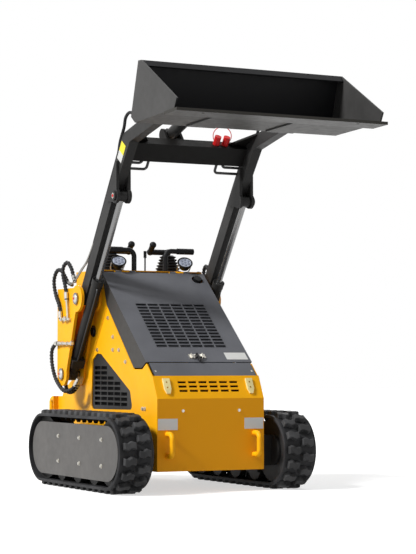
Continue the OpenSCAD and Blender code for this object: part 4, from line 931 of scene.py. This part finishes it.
tether = bmesh.new()
ring = [at(*RING_MID) + (cos(a) * RING_SIDE + sin(a) * RING_UP) * RING_R * MM for a in FULL_TURN]
add_tube(tether, ring, RING_WIRE_R, RING_SIDES)
from_bmesh("coupler tether", tether, red_plastic, "arms")
deck_mat = bmesh.new()
mat_t = MAT_SIZE[UP]
add_box(deck_mat, (0, MAT_BACK, DECK_Z + mat_t / 2), MAT_SIZE)
for i in range(STUD_COLS):
    for j in range(STUD_ROWS):
        stud = at(STUD_X + STUD_PITCH * i, STUD_BACK + STUD_PITCH * j, DECK_Z + mat_t)
        add_disc(deck_mat, stud, (0, 0, 1), STUD_R, STUD_H, STUD_SIDES, STUD_TOP_R)
from_bmesh("deck mat", deck_mat, materials["boot_rubber"], "body")

# The seam and the knob on each side wall, as (back, up)

SEAM, SEAM_R, SEAM_SIDES = ((720, 890), (735, 868), (800, 790), (880, 684)), 2.2, 6
KNOB, KNOB_SIDES = (888, 786), 36
KNOB_BASE_R, KNOB_BASE_H = 30.0, 5.0
KNOB_R, KNOB_TOP_R, KNOB_H = 22.0, 19.0, 6.0
KNOB_GRIP_OUT, KNOB_GRIP_SIZE, KNOB_TURN = 7.0, (8.0, 10.0, 40.0), 35.0

for side, sign in SIDES.items():
    out = (sign, 0, 0)
    seam = bmesh.new()
    add_tube(seam, routed([(sign * WALL_X, *spot) for spot in SEAM], PIPE_STEP), SEAM_R, SEAM_SIDES)
    from_bmesh(f"wall seam {side}", seam, materials["body_paint"], "body")
    knob = bmesh.new()
    add_disc(knob, at(sign * WALL_X, *KNOB), out, KNOB_BASE_R, KNOB_BASE_H, KNOB_SIDES)
    add_disc(knob, at(sign * (WALL_X + KNOB_BASE_H), *KNOB), out, KNOB_R, KNOB_H, KNOB_SIDES, KNOB_TOP_R)
    grip = (sign * (WALL_X + KNOB_GRIP_OUT), *KNOB)
    add_box(knob, grip, KNOB_GRIP_SIZE, Matrix.Rotation(radians(KNOB_TURN), 4, "X"))
    from_bmesh(f"wall knob {side}", knob, materials["black_plastic"], "body")

# World and floor, in metres: white to the camera and in reflections, plain light otherwise

WORLD_LIGHT, WORLD_SEEN = 0.25, 1.0
FLOOR_SIZE, FLOOR_DROP, FLOOR_GREY, FLOOR_ROUGH, FLOOR_GLOW = 60.0, 0.0005, (0.55, 0.55, 0.55), 0.9, 0.58


def seen_rays(tree):
    """1 for camera, glossy and transmission rays, 0 for the rays that light the object."""
    rays = tree.nodes.new("ShaderNodeLightPath")
    total = rays.outputs["Is Camera Ray"]
    for ray in ("Is Glossy Ray", "Is Transmission Ray"):
        either = tree.nodes.new("ShaderNodeMath")
        either.operation = "MAXIMUM"
        tree.links.new(total, either.inputs[0])
        tree.links.new(rays.outputs[ray], either.inputs[1])
        total = either.outputs["Value"]
    return total


def studio_world():
    """A world that lights softly and looks white."""
    world = bpy.data.worlds.new("studio")
    scene.world = world
    world.use_nodes = True
    tree = world.node_tree
    light = tree.nodes["Background"]
    seen = tree.nodes.new("ShaderNodeBackground")
    for background, strength in ((light, WORLD_LIGHT), (seen, WORLD_SEEN)):
        background.inputs["Color"].default_value = WHITE
        background.inputs["Strength"].default_value = strength
    mix = tree.nodes.new("ShaderNodeMixShader")
    tree.links.new(seen_rays(tree), mix.inputs["Fac"])
    tree.links.new(light.outputs["Background"], mix.inputs[1])
    tree.links.new(seen.outputs["Background"], mix.inputs[2])
    tree.links.new(mix.outputs["Shader"], tree.nodes["World Output"].inputs["Surface"])


def pale_floor():
    """A floor that glows for the camera and keeps the object's shadow."""
    bpy.ops.mesh.primitive_plane_add(size=FLOOR_SIZE, location=(0.0, 0.0, -FLOOR_DROP))
    floor = bpy.context.object
    floor.name = "floor"
    mat, tree, bsdf = shader("pale floor", FLOOR_GREY, FLOOR_ROUGH)
    glow = tree.nodes.new("ShaderNodeMath")
    glow.operation = "MULTIPLY"
    glow.inputs[1].default_value = FLOOR_GLOW
    tree.links.new(seen_rays(tree), glow.inputs[0])
    tree.links.new(glow.outputs["Value"], bsdf.inputs["Emission Strength"])
    bsdf.inputs["Emission Color"].default_value = WHITE
    dress(floor, mat)


studio_world()
pale_floor()

# Lights, with places and sizes in metres

KEY_WAY, KEY_ENERGY, KEY_SPREAD = Vector((6.4, 0.45, -5.7)), 3.9, 14.0
LIGHT_AIM, LIGHT_SIZE = Vector((0.0, 0.0, 1.0)), 4.0
SOFT_LIGHTS = {"fill": ((2.0, -8.0, 4.0), 20.0), "back": ((3.0, 7.0, 5.0), 200.0)}


def add_light(name, kind, energy, direction):
    """A light of a kind that shines in a direction."""
    data = bpy.data.lights.new(name, kind)
    data.energy = energy
    lamp = bpy.data.objects.new(name, data)
    scene.collection.objects.link(lamp)
    lamp.rotation_euler = direction.to_track_quat("-Z", "Y").to_euler()
    return lamp


key = add_light("key", "SUN", KEY_ENERGY, KEY_WAY)
key.data.angle = radians(KEY_SPREAD)
for name, (place, watts) in SOFT_LIGHTS.items():
    soft = add_light(name, "AREA", watts, LIGHT_AIM - Vector(place))
    soft.data.size = LIGHT_SIZE
    soft.location = place

# Camera: place, lens and sensor in millimetres, angles in degrees, reach in metres

CAMERA_PLACE = (-3983.7, -7728.5, 618.2)
CAMERA_TILT, CAMERA_TURN = 92.74, -26.81
CAMERA_LENS, CAMERA_SENSOR, CAMERA_REACH = 117.97, 36.0, 200.0

camera = bpy.data.objects.new("camera", bpy.data.cameras.new("camera"))
scene.collection.objects.link(camera)
camera.location = at(*CAMERA_PLACE)
camera.rotation_euler = (radians(CAMERA_TILT), 0.0, radians(CAMERA_TURN))
camera.data.sensor_width = CAMERA_SENSOR
camera.data.lens = CAMERA_LENS
camera.data.clip_end = CAMERA_REACH
scene.camera = camera
scene.view_settings.view_transform = "Standard"
